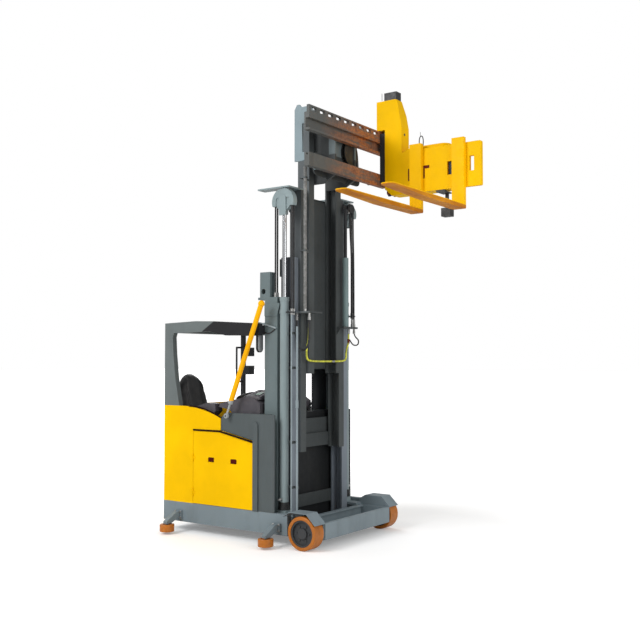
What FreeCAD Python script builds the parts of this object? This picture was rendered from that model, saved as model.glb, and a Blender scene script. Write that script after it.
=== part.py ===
"""Turret truck: a seated very-narrow-aisle fork lift with a raised three-stage mast.

Axes: +X forwards to the mast and forks, +Y to the operator's left, +Z up.
The origin is on the floor, midway between the two load wheels. Lengths are millimetres.
"""

import FreeCAD, Part
import math
import os

os.makedirs("parts", exist_ok=True)
V = FreeCAD.Vector

# ---------------------------------------------------------------- driving dimensions

# Running clearances
fit_gap = 0.05            # radial, shaft in bore
slide_gap = 0.5           # roller in mast channel
move_gap = 5.0            # between pieces that pass each other
panel_gap = 4.0           # shut line around a door

# Chassis
chassis_rear_x = -1930.0
chassis_front_x = -230.0
chassis_half_width = 700.0
chassis_bottom_z = 105.0
chassis_top_z = 312.0
side_beam_width = 60.0
floor_plate = 12.0
deck_plate = 25.0

# Load wheels and the legs that carry them
wheel_radius = 165.0
wheel_width = 150.0
wheel_outer_y = 780.0
wheel_hub_radius = 131.0
axle_radius = 35.0
leg_width = 70.0
leg_to_wheel = 15.0
leg_bottom_z = 95.0
leg_top_z = 255.0
beam_front_x = 160.0
beam_rear_x = -180.0
beam_plate = 12.0
beam_lip = 40.0
fender_clearance = 30.0
fender_plate = 6.0

# Drive wheel
drive_x = -1620.0
drive_radius = 200.0
drive_width = 160.0
drive_hub_radius = 130.0
drive_axle_radius = 25.0
kingpin_radius = 60.0
drive_deck_z = 488.0

# Guide rollers
guide_radius = 77.0
guide_height = 75.0
guide_bottom_z = 25.0
guide_reach = 190.0
guide_front_x = -350.0
guide_rear_x = -1690.0
guide_pin_radius = 12.0

# Body panels
panel = 24.0
body_top_z = 1346.0
door_rear_x = -1500.0
door_front_x = -672.0
door_top_rear_z = 1092.0
door_bend_x = -1100.0
door_bend_z = 1102.0
door_top_front_z = 1014.0
housing_top_z = 1290.0
housing_front_x = -402.0
hinge_radius = 10.0
hinge_pin_radius = 5.0
hinge_heights = (430.0, 800.0)

# Cab
cab_floor_z = 600.0
cab_front_x = -1020.0
guard_top_z = 2250.0
pillar_width = 60.0
seat_y = -395.0
seat_width = 450.0
seat_height_z = 1060.0

# Battery
battery_length = 380.0
battery_width = 1200.0
battery_height = 780.0

# Mast
mast_front_x = -320.0
mast_half_width = 500.0
rail_width = 100.0
rail_inner_width = 90.0
rail_web = 12.0
rail_flange = 18.0
channel_depth = 110.0
stage_step_x = 30.0
stage_gap = 8.0
outer_bottom_z = 117.0
outer_top_z = 2895.0
middle_bottom_z = 900.0
middle_top_z = 3600.0
inner_bottom_z = 1700.0
inner_top_z = 4400.0
cross_plate = 20.0

# Main lift cylinders
barrel_x = -384.0
barrel_side_gap = 52.0
mast_column_width = 100.0
barrel_radius = 46.0
barrel_bottom_z = 330.0
barrel_top_z = 2480.0
rod_radius = 22.5
rod_bottom_z = 1150.0
rod_top_z = 3330.0
yoke_sheave_z = 3460.0
yoke_sheave_radius = 95.0
yoke_shelf_front_x = -293.0

# Free-lift cylinder on the inner stage, left side only
free_x = -210.0
free_side_gap = 106.0
hose_plate_z = 2320.0
hose_plate_thickness = 15.0
hose_plate_front_x = -125.0
hose_plate_reach = 75.0
hose_shelf_reach = 84.0
free_radius = 33.0
free_bottom_z = 2200.0
free_top_z = 2950.0
free_rod_radius = 18.0
free_rod_top_z = 3450.0
free_sheave_reach = 95.0
free_sheave_z = 3500.0
free_sheave_radius = 50.0

# Lift carriage and traverse frame
carriage_half_width = 200.0
carriage_plate = 25.0
carriage_bottom_z = 3680.0
carriage_top_z = 4330.0
roller_low_z = 3760.0
roller_high_z = 4260.0
rail_back_x = 0.0
rail_depth = 60.0
traverse_half = 735.0
upper_rail_z = (4110.0, 4290.0)
lower_rail_z = (3752.0, 3886.0)
rack_top_z = 4360.0
rack_pitch = 145.0
end_plate_y = 495.0

# Turret: the traversing column, its arm and the pivot of the fork carriage
column_y = 660.0
column_half = 80.0
column_rear_x = 132.0
column_front_x = 343.0
column_top_z = 4690.0
arm_bottom_z = 3630.0
arm_top_z = 4125.0
pivot_x = 813.0
pivot_radius = 30.0
drum_radius = 105.0
drum_bottom_z = 3725.0
drum_top_z = 4025.0

# Fork carriage and forks
fork_plate = 45.0
fork_plate_left = 320.0
fork_plate_right = 487.0
fork_plate_z = (3620.0, 4080.0)
fork_spread = 498.0
fork_width = 138.0
fork_thickness = 45.0
fork_shank = 50.0
fork_bottom_z = 3390.0
fork_shank_top_z = 4130.0
fork_length = 1430.0

# Side barrier bar, on the right only
bar_foot_x = -993.0
bar_foot_z = 1262.0
bar_side_gap = 42.0
bar_radius = 26.0
bar_length = 1238.0
bar_lean_deg = 21.9


# ---------------------------------------------------------------- helpers

def box(x0, x1, y0, y1, z0, z1):
    """Box between two corners given as ranges."""
    return Part.makeBox(x1 - x0, y1 - y0, z1 - z0, V(x0, y0, z0))


def cyl_x(y, z, radius, x0, x1):
    return Part.makeCylinder(radius, x1 - x0, V(x0, y, z), V(1, 0, 0))


def cyl_y(x, z, radius, y0, y1):
    return Part.makeCylinder(radius, y1 - y0, V(x, y0, z), V(0, 1, 0))


def cyl_z(x, y, radius, z0, z1):
    return Part.makeCylinder(radius, z1 - z0, V(x, y, z0), V(0, 0, 1))


def prism(points, direction):
    """Closed polygon extruded by a vector."""
    wire = Part.makePolygon(points + [points[0]])
    return Part.Face(wire).extrude(direction)


def plate_xz(points, y0, y1):
    """Outline in X and Z, between two Y values."""
    return prism([V(x, y0, z) for x, z in points], V(0, y1 - y0, 0))


def plate_yz(points, x0, x1):
    """Outline in Y and Z, between two X values."""
    return prism([V(x0, y, z) for y, z in points], V(x1 - x0, 0, 0))


def fuse(shapes):
    """One solid from pieces that share faces or volume."""
    result = shapes[0]
    if len(shapes) > 1:
        result = shapes[0].multiFuse(shapes[1:])
    return result.removeSplitter()


def other_side(shape):
    """The mirror image across the truck's centre plane."""
    return shape.mirror(V(0, 0, 0), V(0, 1, 0))


def pair(shape):
    return [shape, other_side(shape)]


def save(name, shapes):
    """Write one node. Every entry of shapes is a separate solid."""
    solids = [solid for shape in shapes for solid in shape.Solids]
    Part.makeCompound(solids).exportStep("parts/%s.step" % name)


def edges_along(shape, direction):
    """Straight edges parallel to a direction."""
    chosen = []
    for edge in shape.Edges:
        if isinstance(edge.Curve, Part.Line) and abs(edge.tangentAt(edge.FirstParameter).dot(direction)) > 0.999:
            chosen.append(edge)
    return chosen


def channel(x_front, y_inner, y_outer, z0, z1):
    """Mast rail: a C section open towards the centre plane, on the +Y side."""
    x_back = x_front - channel_depth - 2 * rail_flange
    body = box(x_back, x_front, y_inner, y_outer, z0, z1)
    hollow = box(x_back + rail_flange, x_front - rail_flange, y_inner, y_outer - rail_web, z0, z1)
    return body.cut(hollow)


def mast_roller(x_front_of_channel, y_from, y_to, z):
    """Roller and stub that run in a channel whose front face is given."""
    x = x_front_of_channel - rail_flange - channel_depth / 2
    roller = cyl_y(x, z, channel_depth / 2 - slide_gap, y_to - 62, y_to)
    stub = cyl_y(x, z, 24, y_from, y_to - 62)
    return fuse([roller, stub])


# ---------------------------------------------------------------- chassis

leg_outer_y = wheel_outer_y - wheel_width - leg_to_wheel
leg_inner_y = leg_outer_y - leg_width
beam_half = chassis_half_width - side_beam_width
fender_top_z = 2 * wheel_radius + fender_clearance
guide_y = chassis_half_width + guide_reach
bar_y = chassis_half_width + bar_side_gap
barrel_y = mast_half_width + barrel_side_gap
mast_column_outer_y = mast_half_width + mast_column_width


def chassis_frame():
    """Side channels, floor, mast deck, drive mounting and legs."""
    side = box(chassis_rear_x, chassis_front_x, beam_half, chassis_half_width, chassis_bottom_z, chassis_top_z)
    deck = box(-480, -200, mast_half_width + 2, beam_half, chassis_top_z - 32 - deck_plate, chassis_top_z - 32)
    leg = box(-480, beam_front_x - beam_plate, leg_inner_y, leg_outer_y, leg_bottom_z, leg_top_z)
    link = box(-480, chassis_front_x, leg_outer_y, beam_half, chassis_bottom_z, leg_top_z)
    axle = cyl_y(0, wheel_radius, axle_radius, leg_outer_y, wheel_outer_y - 20)
    web = box(-1870, -1350, 300, 312, chassis_bottom_z, drive_deck_z)
    half = fuse([side, deck, leg, link, axle, web])
    floor = box(chassis_rear_x + side_beam_width, -200, -beam_half, beam_half,
                chassis_bottom_z, chassis_bottom_z + floor_plate)
    rear = box(chassis_rear_x, chassis_rear_x + side_beam_width, -beam_half, beam_half,
               chassis_bottom_z, chassis_top_z)
    front_web = box(-200 - floor_plate, -200, -beam_half, beam_half, chassis_bottom_z, leg_top_z)
    drive_deck = box(-1870, -1350, -312, 312, drive_deck_z, drive_deck_z + floor_plate)
    frame = fuse([half, other_side(half), floor, rear, front_web, drive_deck])
    frame = frame.cut(cyl_z(drive_x, 0, 260, 0, drive_deck_z - 1))
    frame = frame.cut(cyl_z(drive_x, 0, kingpin_radius + fit_gap, 0, 600))
    return frame


def wheel_cover():
    """Bent plate over a load wheel, with the web that carries it."""
    top = fender_top_z
    slope_end_x = beam_front_x + 5
    slope_start_x = slope_end_x - (top - leg_top_z)
    outline = [
        (chassis_front_x, chassis_top_z), (-150, top), (slope_start_x, top), (slope_end_x, leg_top_z),
        (slope_end_x - fender_plate * 1.4, leg_top_z), (slope_start_x - fender_plate * 0.4, top - fender_plate),
        (-150, top - fender_plate), (chassis_front_x, chassis_top_z - fender_plate),
    ]
    skin = plate_xz(outline, leg_outer_y - 12, wheel_outer_y)
    web_outline = [
        (chassis_front_x, leg_top_z), (chassis_front_x, chassis_top_z - 1), (-150, top - 1),
        (slope_start_x, top - 1), (slope_end_x - 1, leg_top_z),
    ]
    web = plate_xz(web_outline, leg_outer_y - 12, leg_outer_y - 6)
    web = web.cut(box(chassis_front_x - 1, -200, leg_outer_y - 13, leg_outer_y - 5, leg_top_z - 1, 280))
    return fuse([skin, web])


def front_beam():
    """Open-topped channel between the legs."""
    bottom = box(beam_rear_x, beam_front_x, -leg_inner_y, leg_inner_y, leg_bottom_z, leg_bottom_z + beam_plate)
    front = box(beam_front_x - beam_plate, beam_front_x, -leg_outer_y + 13, leg_outer_y - 13, leg_bottom_z, leg_top_z)
    rear = box(beam_rear_x, beam_rear_x + beam_plate, -leg_inner_y, leg_inner_y, leg_bottom_z, leg_top_z)
    front_lip = box(beam_front_x - beam_lip, beam_front_x, -leg_inner_y, leg_inner_y,
                    leg_top_z - beam_plate, leg_top_z)
    rear_lip = box(beam_rear_x, beam_rear_x + beam_lip, -leg_inner_y, leg_inner_y,
                   leg_top_z - beam_plate, leg_top_z)
    return fuse([bottom, front, rear, front_lip, rear_lip])


def roller_bracket(x):
    """Bolted block, arm and pin for one guide roller, on the +Y side."""
    block = box(x - 45, x + 45, chassis_half_width, chassis_half_width + 30, 140, 225)
    top = guide_bottom_z + guide_height + 8
    outline = [
        (chassis_half_width + 30, 155), (chassis_half_width + 30, 215), (chassis_half_width + 75, 215),
        (guide_y + 30, top + 25), (guide_y + 30, top), (guide_y - 40, top),
    ]
    arm = plate_yz(outline, x - 26, x + 26)
    pin = cyl_z(x, guide_y, guide_pin_radius, guide_bottom_z + 6, top + 10)
    return fuse([block, arm, pin])


def guide_roller(x, side):
    """Horizontal roller on a vertical pin."""
    z0, z1 = guide_bottom_z, guide_bottom_z + guide_height
    body = cyl_z(x, side * guide_y, guide_radius, z0, z1)
    body = body.makeFillet(6, [e for e in body.Edges if isinstance(e.Curve, Part.Circle)])
    bore = cyl_z(x, side * guide_y, guide_pin_radius + fit_gap, z0 + 6, z1)
    relief = cyl_z(x, side * guide_y, guide_radius - 30, z1 - 6, z1 + 1)
    return body.cut(bore).cut(relief)


def load_tyre(side):
    """Polyurethane tread ring of a load wheel."""
    y0, y1 = sorted((side * (wheel_outer_y - wheel_width), side * wheel_outer_y))
    ring = cyl_y(0, wheel_radius, wheel_radius, y0, y1)
    ring = ring.makeFillet(8, [e for e in ring.Edges if isinstance(e.Curve, Part.Circle)])
    return ring.cut(cyl_y(0, wheel_radius, wheel_hub_radius, y0 - 1, y1 + 1))


def load_hub(side):
    """Cast hub with a recessed outer face and a bearing cap."""
    inner = wheel_outer_y - wheel_width + 5
    outer = wheel_outer_y - 8
    hub = cyl_y(0, wheel_radius, wheel_hub_radius, inner, outer)
    hub = hub.cut(cyl_y(0, wheel_radius, wheel_hub_radius - 18, outer - 22, outer + 1))
    hub = hub.fuse(cyl_y(0, wheel_radius, 52, outer - 22, outer - 2))
    hub = hub.cut(cyl_y(0, wheel_radius, axle_radius + fit_gap, inner - 1, wheel_outer_y - 19)).removeSplitter()
    return hub if side > 0 else other_side(hub)


# ---------------------------------------------------------------- drive unit

def drive_yoke():
    """Steered gearbox leg with a turntable pin through the drive deck."""
    top = drive_deck_z - move_gap
    pin = cyl_z(drive_x, 0, kingpin_radius, top - 10, drive_deck_z + floor_plate + 28)
    collar = cyl_z(drive_x, 0, kingpin_radius + 18, drive_deck_z + floor_plate + move_gap,
                   drive_deck_z + floor_plate + 28)
    disc = cyl_z(drive_x, 0, 130, top - 30, top)
    arm_y = drive_width / 2 + 8
    arm = box(drive_x - 55, drive_x + 55, arm_y, arm_y + 34, drive_radius, top - 30)
    arm_end = cyl_y(drive_x, drive_radius, 55, arm_y, arm_y + 34)
    axle = cyl_y(drive_x, drive_radius, drive_axle_radius, -drive_width / 2 - 6, arm_y + 1)
    return fuse([pin, collar, disc, arm, arm_end, axle])


def drive_tyre():
    ring = cyl_y(drive_x, drive_radius, drive_radius, -drive_width / 2, drive_width / 2)
    ring = ring.makeFillet(10, [e for e in ring.Edges if isinstance(e.Curve, Part.Circle)])
    return ring.cut(cyl_y(drive_x, drive_radius, drive_hub_radius, -drive_width, drive_width))


def drive_hub():
    hub = cyl_y(drive_x, drive_radius, drive_hub_radius, -drive_width / 2 + 6, drive_width / 2 - 6)
    return hub.cut(cyl_y(drive_x, drive_radius, drive_axle_radius + fit_gap, -drive_width, drive_width))


# ---------------------------------------------------------------- body panels

def side_outline_curve():
    """Top edge of the rear side panel, falling towards the front as an arc."""
    start, mid, end = V(-1660, 0, body_top_z), V(-1370, 0, 1312), V(-1110, 0, 1234)
    return Part.Arc(start, mid, end).toShape()


def rear_side_panel(y0, y1, full):
    """Rear quarter panel. The full one reaches over the service door."""
    lines = [Part.makeLine(V(chassis_rear_x, 0, body_top_z), V(-1660, 0, body_top_z)), side_outline_curve()]
    corners = [V(-1110, 0, 1234), V(-1110, 0, door_bend_z + panel_gap), V(door_rear_x, 0, door_top_rear_z + panel_gap),
               V(door_rear_x, 0, chassis_top_z), V(chassis_rear_x, 0, chassis_top_z), V(chassis_rear_x, 0, body_top_z)]
    for start, end in zip(corners, corners[1:]):
        lines.append(Part.makeLine(start, end))
    face = Part.Face(Part.Wire(Part.__sortEdges__(lines)))
    solid = face.extrude(V(0, y1 - y0, 0))
    solid.translate(V(0, y0, 0))
    if not full:
        solid = solid.cut(box(-1560, 0, y0 - 1, y1 + 1, 0, 3000))
    return solid


def hinge_parts(z, is_door):
    """Knuckles on the service door's hinge line, at one height."""
    y = -chassis_half_width - 4
    if is_door:
        return fuse([cyl_z(door_rear_x, y, hinge_radius, z - 14, z + 14),
                     box(door_rear_x, door_rear_x + 30, y, y + 12, z - 14, z + 14)])
    parts = [cyl_z(door_rear_x, y, hinge_pin_radius, z - 40, z + 40)]
    for z0, z1 in ((z - 40, z - 15), (z + 15, z + 40)):
        parts.append(cyl_z(door_rear_x, y, hinge_radius, z0, z1))
        parts.append(box(door_rear_x - 30, door_rear_x, y, y + 12, z0, z1))
    return fuse(parts)


def rear_body():
    """Painted rear shell: right quarter, rear wall and left quarter."""
    inner = chassis_half_width - panel
    right = rear_side_panel(-chassis_half_width, -inner, True)
    left = rear_side_panel(inner, chassis_half_width, False)
    rear = box(chassis_rear_x, chassis_rear_x + panel, -chassis_half_width, chassis_half_width,
               chassis_top_z, body_top_z)
    shell = fuse([right, left, rear])
    y = -chassis_half_width - 4
    for z in hinge_heights:
        shell = shell.cut(cyl_z(door_rear_x, y, hinge_radius + 2, z - 15, z + 15))
        shell = shell.fuse(hinge_parts(z, False))
    return shell.removeSplitter()


def service_door():
    """Right-hand battery door with two recessed hand holds."""
    rear = door_rear_x + panel_gap
    outline = [(rear, chassis_top_z + panel_gap), (rear, door_top_rear_z), (door_bend_x, door_bend_z - 2),
               (door_front_x - panel_gap, door_top_front_z), (door_front_x - panel_gap, chassis_top_z + panel_gap)]
    door = plate_xz(outline, -chassis_half_width, -chassis_half_width + panel)
    for x in (-1242, -930):
        door = door.cut(box(x - 42, x + 42, -chassis_half_width - 1, -chassis_half_width + 16, 765, 808))
    y = -chassis_half_width - 4
    for z in hinge_heights:
        for z0, z1 in ((z - 41, z - 14.5), (z + 14.5, z + 41)):
            door = door.cut(cyl_z(door_rear_x, y, hinge_radius + 2, z0, z1))
        door = door.fuse(hinge_parts(z, True))
        door = door.cut(cyl_z(door_rear_x, y, hinge_pin_radius + fit_gap, z - 15, z + 15))
    return door.removeSplitter()


def left_side_panel():
    """Left cover with the entry sill and its step."""
    inner = chassis_half_width - panel
    outline = [(-1556, chassis_top_z), (-1556, cab_floor_z + 40), (-1060, cab_floor_z + 40), (-1060, 1098),
               (door_front_x - panel_gap, door_top_front_z), (door_front_x - panel_gap, chassis_top_z)]
    cover = plate_xz(outline, inner, chassis_half_width)
    cover = cover.cut(box(-1480, -1140, inner - 1, chassis_half_width + 1, 380, 540))
    tread = box(-1480, -1140, inner - 130, inner + 4, 372, 380)
    back = box(-1480, -1140, inner - 130, inner - 122, 380, 540)
    return fuse([cover, tread, back])


def front_housing():
    """Grey housing behind the mast: side cheeks, front wall and top."""
    inner = chassis_half_width - panel
    outer = chassis_half_width - 4
    outline = [(-1105, door_bend_z + 8), (-1105, 1235), (-1050, housing_top_z), (housing_front_x, housing_top_z),
               (housing_front_x, chassis_top_z), (door_front_x, chassis_top_z),
               (door_front_x, door_top_front_z + panel_gap + 2), (door_bend_x, door_bend_z + 6)]
    cheek = plate_xz(outline, inner, outer)
    pilaster = box(-668, -604, outer - 2, outer + 16, chassis_top_z, 1178)
    pilaster = pilaster.fuse(cyl_y(-636, 1178, 32, outer - 2, outer + 16)).removeSplitter()
    half = fuse([cheek, pilaster])
    front = box(-520, -500, -mast_half_width, mast_half_width, chassis_bottom_z + floor_plate, 1180)
    top = box(-1020, -500, -inner, inner, housing_top_z - 12, housing_top_z)
    for side in (1, -1):
        y0, y1 = sorted((side * (mast_half_width - 2), side * (mast_column_outer_y + 2)))
        top = top.cut(box(-602, -400, y0, y1, 0, 3000))
    front_top = box(-520, -500, -mast_half_width + 4, mast_half_width - 4, 1170, housing_top_z - 6)
    return fuse([half, other_side(half), front, top, front_top, other_side(bar_foot())])


def bar_foot():
    """Pin that carries the side barrier bar, on the +Y side."""
    outer = chassis_half_width - 4
    boss = cyl_y(bar_foot_x, bar_foot_z, 24, outer - 2, outer + 10)
    pin = cyl_y(bar_foot_x, bar_foot_z, 10, outer, bar_y + 20)
    return fuse([boss, pin])


def barrier_bar():
    """Padded side bar: eye, tube and ball end, leaning forwards at rest."""
    eye = cyl_y(bar_foot_x, bar_foot_z, 24, bar_y - 14, bar_y + 14)
    lean = math.radians(bar_lean_deg)
    along = V(math.sin(lean), 0, math.cos(lean))
    foot = V(bar_foot_x, bar_y, bar_foot_z)
    shank = Part.makeCylinder(11, 150, foot, along)
    tube = Part.makeCylinder(bar_radius, bar_length - 140, foot + along * 140, along)
    ball = Part.makeSphere(bar_radius + 8, foot + along * bar_length)
    bar = fuse([eye, shank, tube, ball])
    bar = bar.cut(cyl_y(bar_foot_x, bar_foot_z, 10 + fit_gap, bar_y - 40, bar_y + 40))
    return other_side(bar)


# ---------------------------------------------------------------- cab

def cab_tub():
    """Floor plate, front bulkhead and seat pedestal."""
    inner = chassis_half_width - panel - 2
    floor = box(chassis_rear_x + panel, cab_front_x, -inner, inner, cab_floor_z, cab_floor_z + 15)
    bulkhead = box(cab_front_x, cab_front_x + 12, -inner, inner, chassis_top_z, housing_top_z - 12)
    bulkhead = bulkhead.fuse(box(cab_front_x, cab_front_x + 12, -beam_half, beam_half,
                                 chassis_bottom_z + floor_plate, chassis_top_z))
    seat_box = box(chassis_rear_x + panel, -1430, seat_y - 220, seat_y + 220, cab_floor_z + 15, seat_height_z - 70)
    posts = [box(-1860, -1830, side * 600 - 15, side * 600 + 15, chassis_bottom_z + floor_plate, cab_floor_z)
             for side in (1, -1)]
    return fuse([floor, bulkhead, seat_box] + posts)


def seat_cushion():
    pad = box(-1800, -1330, seat_y - seat_width / 2, seat_y + seat_width / 2, seat_height_z - 70, seat_height_z + 45)
    return pad.makeFillet(26, pad.Edges)


def seat_backrest():
    """Leaning padded back."""
    z0, z1 = seat_height_z + 45, 1702
    outline = [(-1845, z0), (-1665, z0), (-1640, z0 + 130), (-1720, z1 - 60), (-1780, z1), (-1865, z1), (-1895, z1 - 60)]
    back = plate_xz(outline, seat_y - seat_width / 2 + 10, seat_y + seat_width / 2 - 10)
    return back.makeFillet(24, edges_along(back, V(0, 1, 0)))


def dashboard():
    """Instrument panel across the front of the cab."""
    outline = [(-1190, 1345), (-1170, 1385), (-960, 1430), (-830, 1455), (-700, 1440), (-630, 1395),
               (-630, housing_top_z), (-1008, housing_top_z), (-1040, 1325)]
    return plate_xz(outline, -640, 250)


def armrest_console():
    """Control armrest between the seat and the dashboard."""
    outline = [(-1500, 1265), (-1480, 1345), (-1330, 1385), (-1215, 1375), (-1205, 1300), (-1280, 1235), (-1440, 1235)]
    rest = plate_xz(outline, -672, -560)
    stalk = box(-1330, -1270, -672, -640, cab_floor_z + 15, 1250)
    return fuse([rest, stalk])


def steering_wheel():
    """Small wheel with a knob on its column."""
    centre = V(-1262, -100, 1440)
    axis = V(-0.35, 0, 0.94)
    ring = Part.makeTorus(105, 13, centre, axis)
    disc = Part.makeCylinder(40, 16, centre - axis * 8, axis)
    spokes = [Part.makeCylinder(8, 100, centre, V(math.cos(a) * 0.94, math.sin(a), math.cos(a) * 0.35))
              for a in (math.radians(90), math.radians(210), math.radians(330))]
    column = Part.makeCylinder(26, 260, centre, V(0.62, 0, -0.42))
    wheel = fuse([ring, disc, column] + spokes)
    return wheel.cut(dashboard())


def guard_side():
    """Roof side member on the +Y side."""
    outline = [(chassis_rear_x, 2135), (chassis_rear_x, 2243), (-1480, 2258), (-1200, 2250), (-600, 2215),
               (-600, 2092), (-1050, 2098), (-1270, 2146), (-1700, 2135)]
    return plate_xz(outline, chassis_half_width - pillar_width, chassis_half_width)


def overhead_guard():
    """Welded roof frame with the wide right-hand rear pillar."""
    front = box(-650, -600, -chassis_half_width + 1, chassis_half_width - 1, 2105, 2190)
    rear = box(chassis_rear_x, chassis_rear_x + 60, -chassis_half_width + 1, chassis_half_width - 1, 2140, 2235)
    outline = [(chassis_rear_x, body_top_z), (chassis_rear_x, 2150), (-1790, 2150), (-1812, 2090),
               (-1800, 1900), (-1770, 1650), (-1708, body_top_z)]
    pillar = plate_xz(outline, -chassis_half_width, -chassis_half_width + pillar_width)
    foot = box(chassis_rear_x + panel, -1800, -chassis_half_width + panel + 0.5, -chassis_half_width + pillar_width,
               1200, body_top_z + 1)
    return fuse([guard_side(), other_side(guard_side()), front, rear, pillar, foot])


def guard_roof():
    """Bars across the roof frame."""
    inner = chassis_half_width - pillar_width
    bars = []
    count = 9
    for i in range(count):
        x = -1800 + i * (1060.0 / (count - 1))
        bars.append(box(x - 16, x + 16, -inner, inner, 2165, 2205))
    return bars


def cab_post():
    """Slim left-hand rear post with its grab handle and two small cases."""
    post = box(-1925, -1880, 580, 625, body_top_z, 2140)
    rail = [cyl_z(-1902, 478, 11, 1580, 1990),
            cyl_y(-1902, 1580, 11, 478, 582), cyl_y(-1902, 1990, 11, 478, 582)]
    ends = [Part.makeSphere(11, V(-1902, 478, z)) for z in (1580, 1990)]
    cases = [box(-1881, -1770, 548, 652, z, z + 105) for z in (1665, 1885)]
    return fuse([post] + rail + ends + cases)


def cab_screen():
    """Dark guard panel between the cab and the left half of the mast, with its lower rail."""
    panel_edge = 252
    sheet = box(-610, -600, panel_edge, mast_half_width + 20, housing_top_z, 2105)
    frame_bar = box(-614, -600, panel_edge - 14, panel_edge + 2, housing_top_z, 2105)
    lower = box(-612, -600, -mast_half_width - 20, panel_edge, housing_top_z + 30, housing_top_z + 42)
    brace = prism([V(-608, 150, housing_top_z), V(-608, 168, housing_top_z), V(-608, panel_edge - 2, housing_top_z + 98),
                   V(-608, panel_edge - 2, housing_top_z + 118)], V(8, 0, 0))
    return fuse([sheet, frame_bar, lower, brace])


def cab_mirror():
    """Mirror on an arm from the right-hand mast column."""
    mirror_y = -mast_half_width - 72
    arm = cyl_x(mirror_y, 2215, 11, -700, -600)
    drop = cyl_z(-692, mirror_y, 8, 2120, 2215)
    glass = Part.makeCylinder(46, 22, V(-703, mirror_y, 2015), V(1, 0, 0))
    top = Part.makeCylinder(46, 22, V(-703, mirror_y, 2085), V(1, 0, 0))
    low = Part.makeCylinder(46, 22, V(-703, mirror_y, 1965), V(1, 0, 0))
    middle = box(-703, -681, mirror_y - 46, mirror_y + 46, 1965, 2085)
    return fuse([arm, drop, glass, top, low, middle])


# ---------------------------------------------------------------- fixed mast

middle_front_x = mast_front_x + stage_step_x
inner_front_x = middle_front_x + stage_step_x
outer_inner_y = mast_half_width - rail_width
middle_outer_y = outer_inner_y - stage_gap
middle_inner_y = middle_outer_y - rail_inner_width
inner_outer_y = middle_inner_y - stage_gap
inner_inner_y = inner_outer_y - rail_inner_width
mast_back_x = mast_front_x - channel_depth - 2 * rail_flange
middle_back_x = mast_back_x + stage_step_x
inner_back_x = middle_back_x + stage_step_x
carriage_side = inner_inner_y - move_gap
free_y = inner_inner_y + free_side_gap
free_sheave_y = free_y + free_sheave_reach


def outer_rails():
    rail = channel(mast_front_x, outer_inner_y, mast_half_width, outer_bottom_z, outer_top_z)
    return pair(rail)


def outer_crossmembers():
    """Plates across the back of the outer rails."""
    spans = ((300, 430), (1020, 1220), (outer_top_z - 195, outer_top_z - 15))
    return [box(mast_back_x - cross_plate, mast_back_x, -mast_half_width, mast_half_width, z0, z1)
            for z0, z1 in spans]


def mast_columns():
    """Box columns behind the mast, tied at the top, with a case on the right-hand one."""
    deck_z = chassis_top_z - 32
    column = box(-600, -440, mast_half_width, mast_column_outer_y, deck_z, 2460)
    flange = box(-690, -440, mast_half_width, mast_column_outer_y, 2460, 2485)
    gusset = plate_xz([(-600, 2290), (-440, 2290), (-408, 2400), (-408, 2420), (-600, 2420)],
                      mast_column_outer_y, mast_column_outer_y + 8)
    half = fuse([column, flange, gusset])
    case = box(-665, -535, -mast_column_outer_y, -mast_half_width, 2485, 2745)
    case = case.cut(cyl_y(-620, 2545, 28, -mast_column_outer_y - 1, -mast_half_width + 1))
    tie = box(-690, -600, -mast_half_width, mast_half_width, 2460, 2485)
    return fuse([half, other_side(half), tie, case])


def lift_barrels():
    """Main cylinder barrels with foot, clamp and gland, on the mast deck."""
    foot = box(barrel_x - 48, barrel_x + 48, barrel_y - 46, barrel_y + 46, chassis_top_z - 32, barrel_bottom_z)
    tube = cyl_z(barrel_x, barrel_y, barrel_radius, barrel_bottom_z - 1, barrel_top_z)
    gland = cyl_z(barrel_x, barrel_y, barrel_radius + 4, barrel_top_z - 40, barrel_top_z)
    clamp = fuse([cyl_z(barrel_x, barrel_y, barrel_radius + 4, 2310, 2350),
                  box(barrel_x - 34, barrel_x + 34, mast_half_width, barrel_y, 2312, 2348)])
    barrel = fuse([foot, tube, gland, clamp])
    barrel = barrel.cut(cyl_z(barrel_x, barrel_y, barrel_radius - 8, barrel_bottom_z + 20, barrel_top_z - 50))
    barrel = barrel.cut(cyl_z(barrel_x, barrel_y, rod_radius + fit_gap, barrel_top_z - 60, barrel_top_z + 1))
    return pair(barrel)


# ---------------------------------------------------------------- moving mast stages

def middle_rails():
    rail = channel(middle_front_x, middle_inner_y, middle_outer_y, middle_bottom_z, middle_top_z)
    roller = mast_roller(mast_front_x, middle_outer_y - 1, mast_half_width - rail_web - 4, middle_bottom_z + 110)
    return pair(fuse([rail, roller]))


def middle_crossmembers():
    back = middle_back_x
    spans = ((middle_bottom_z + 20, middle_bottom_z + 160), (2250, 2380), (middle_top_z - 220, middle_top_z - 20))
    return [box(back - 14, back, -middle_outer_y, middle_outer_y, z0, z1) for z0, z1 in spans]


def lift_rods():
    return pair(cyl_z(barrel_x, barrel_y, rod_radius, rod_bottom_z, rod_top_z))


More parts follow.
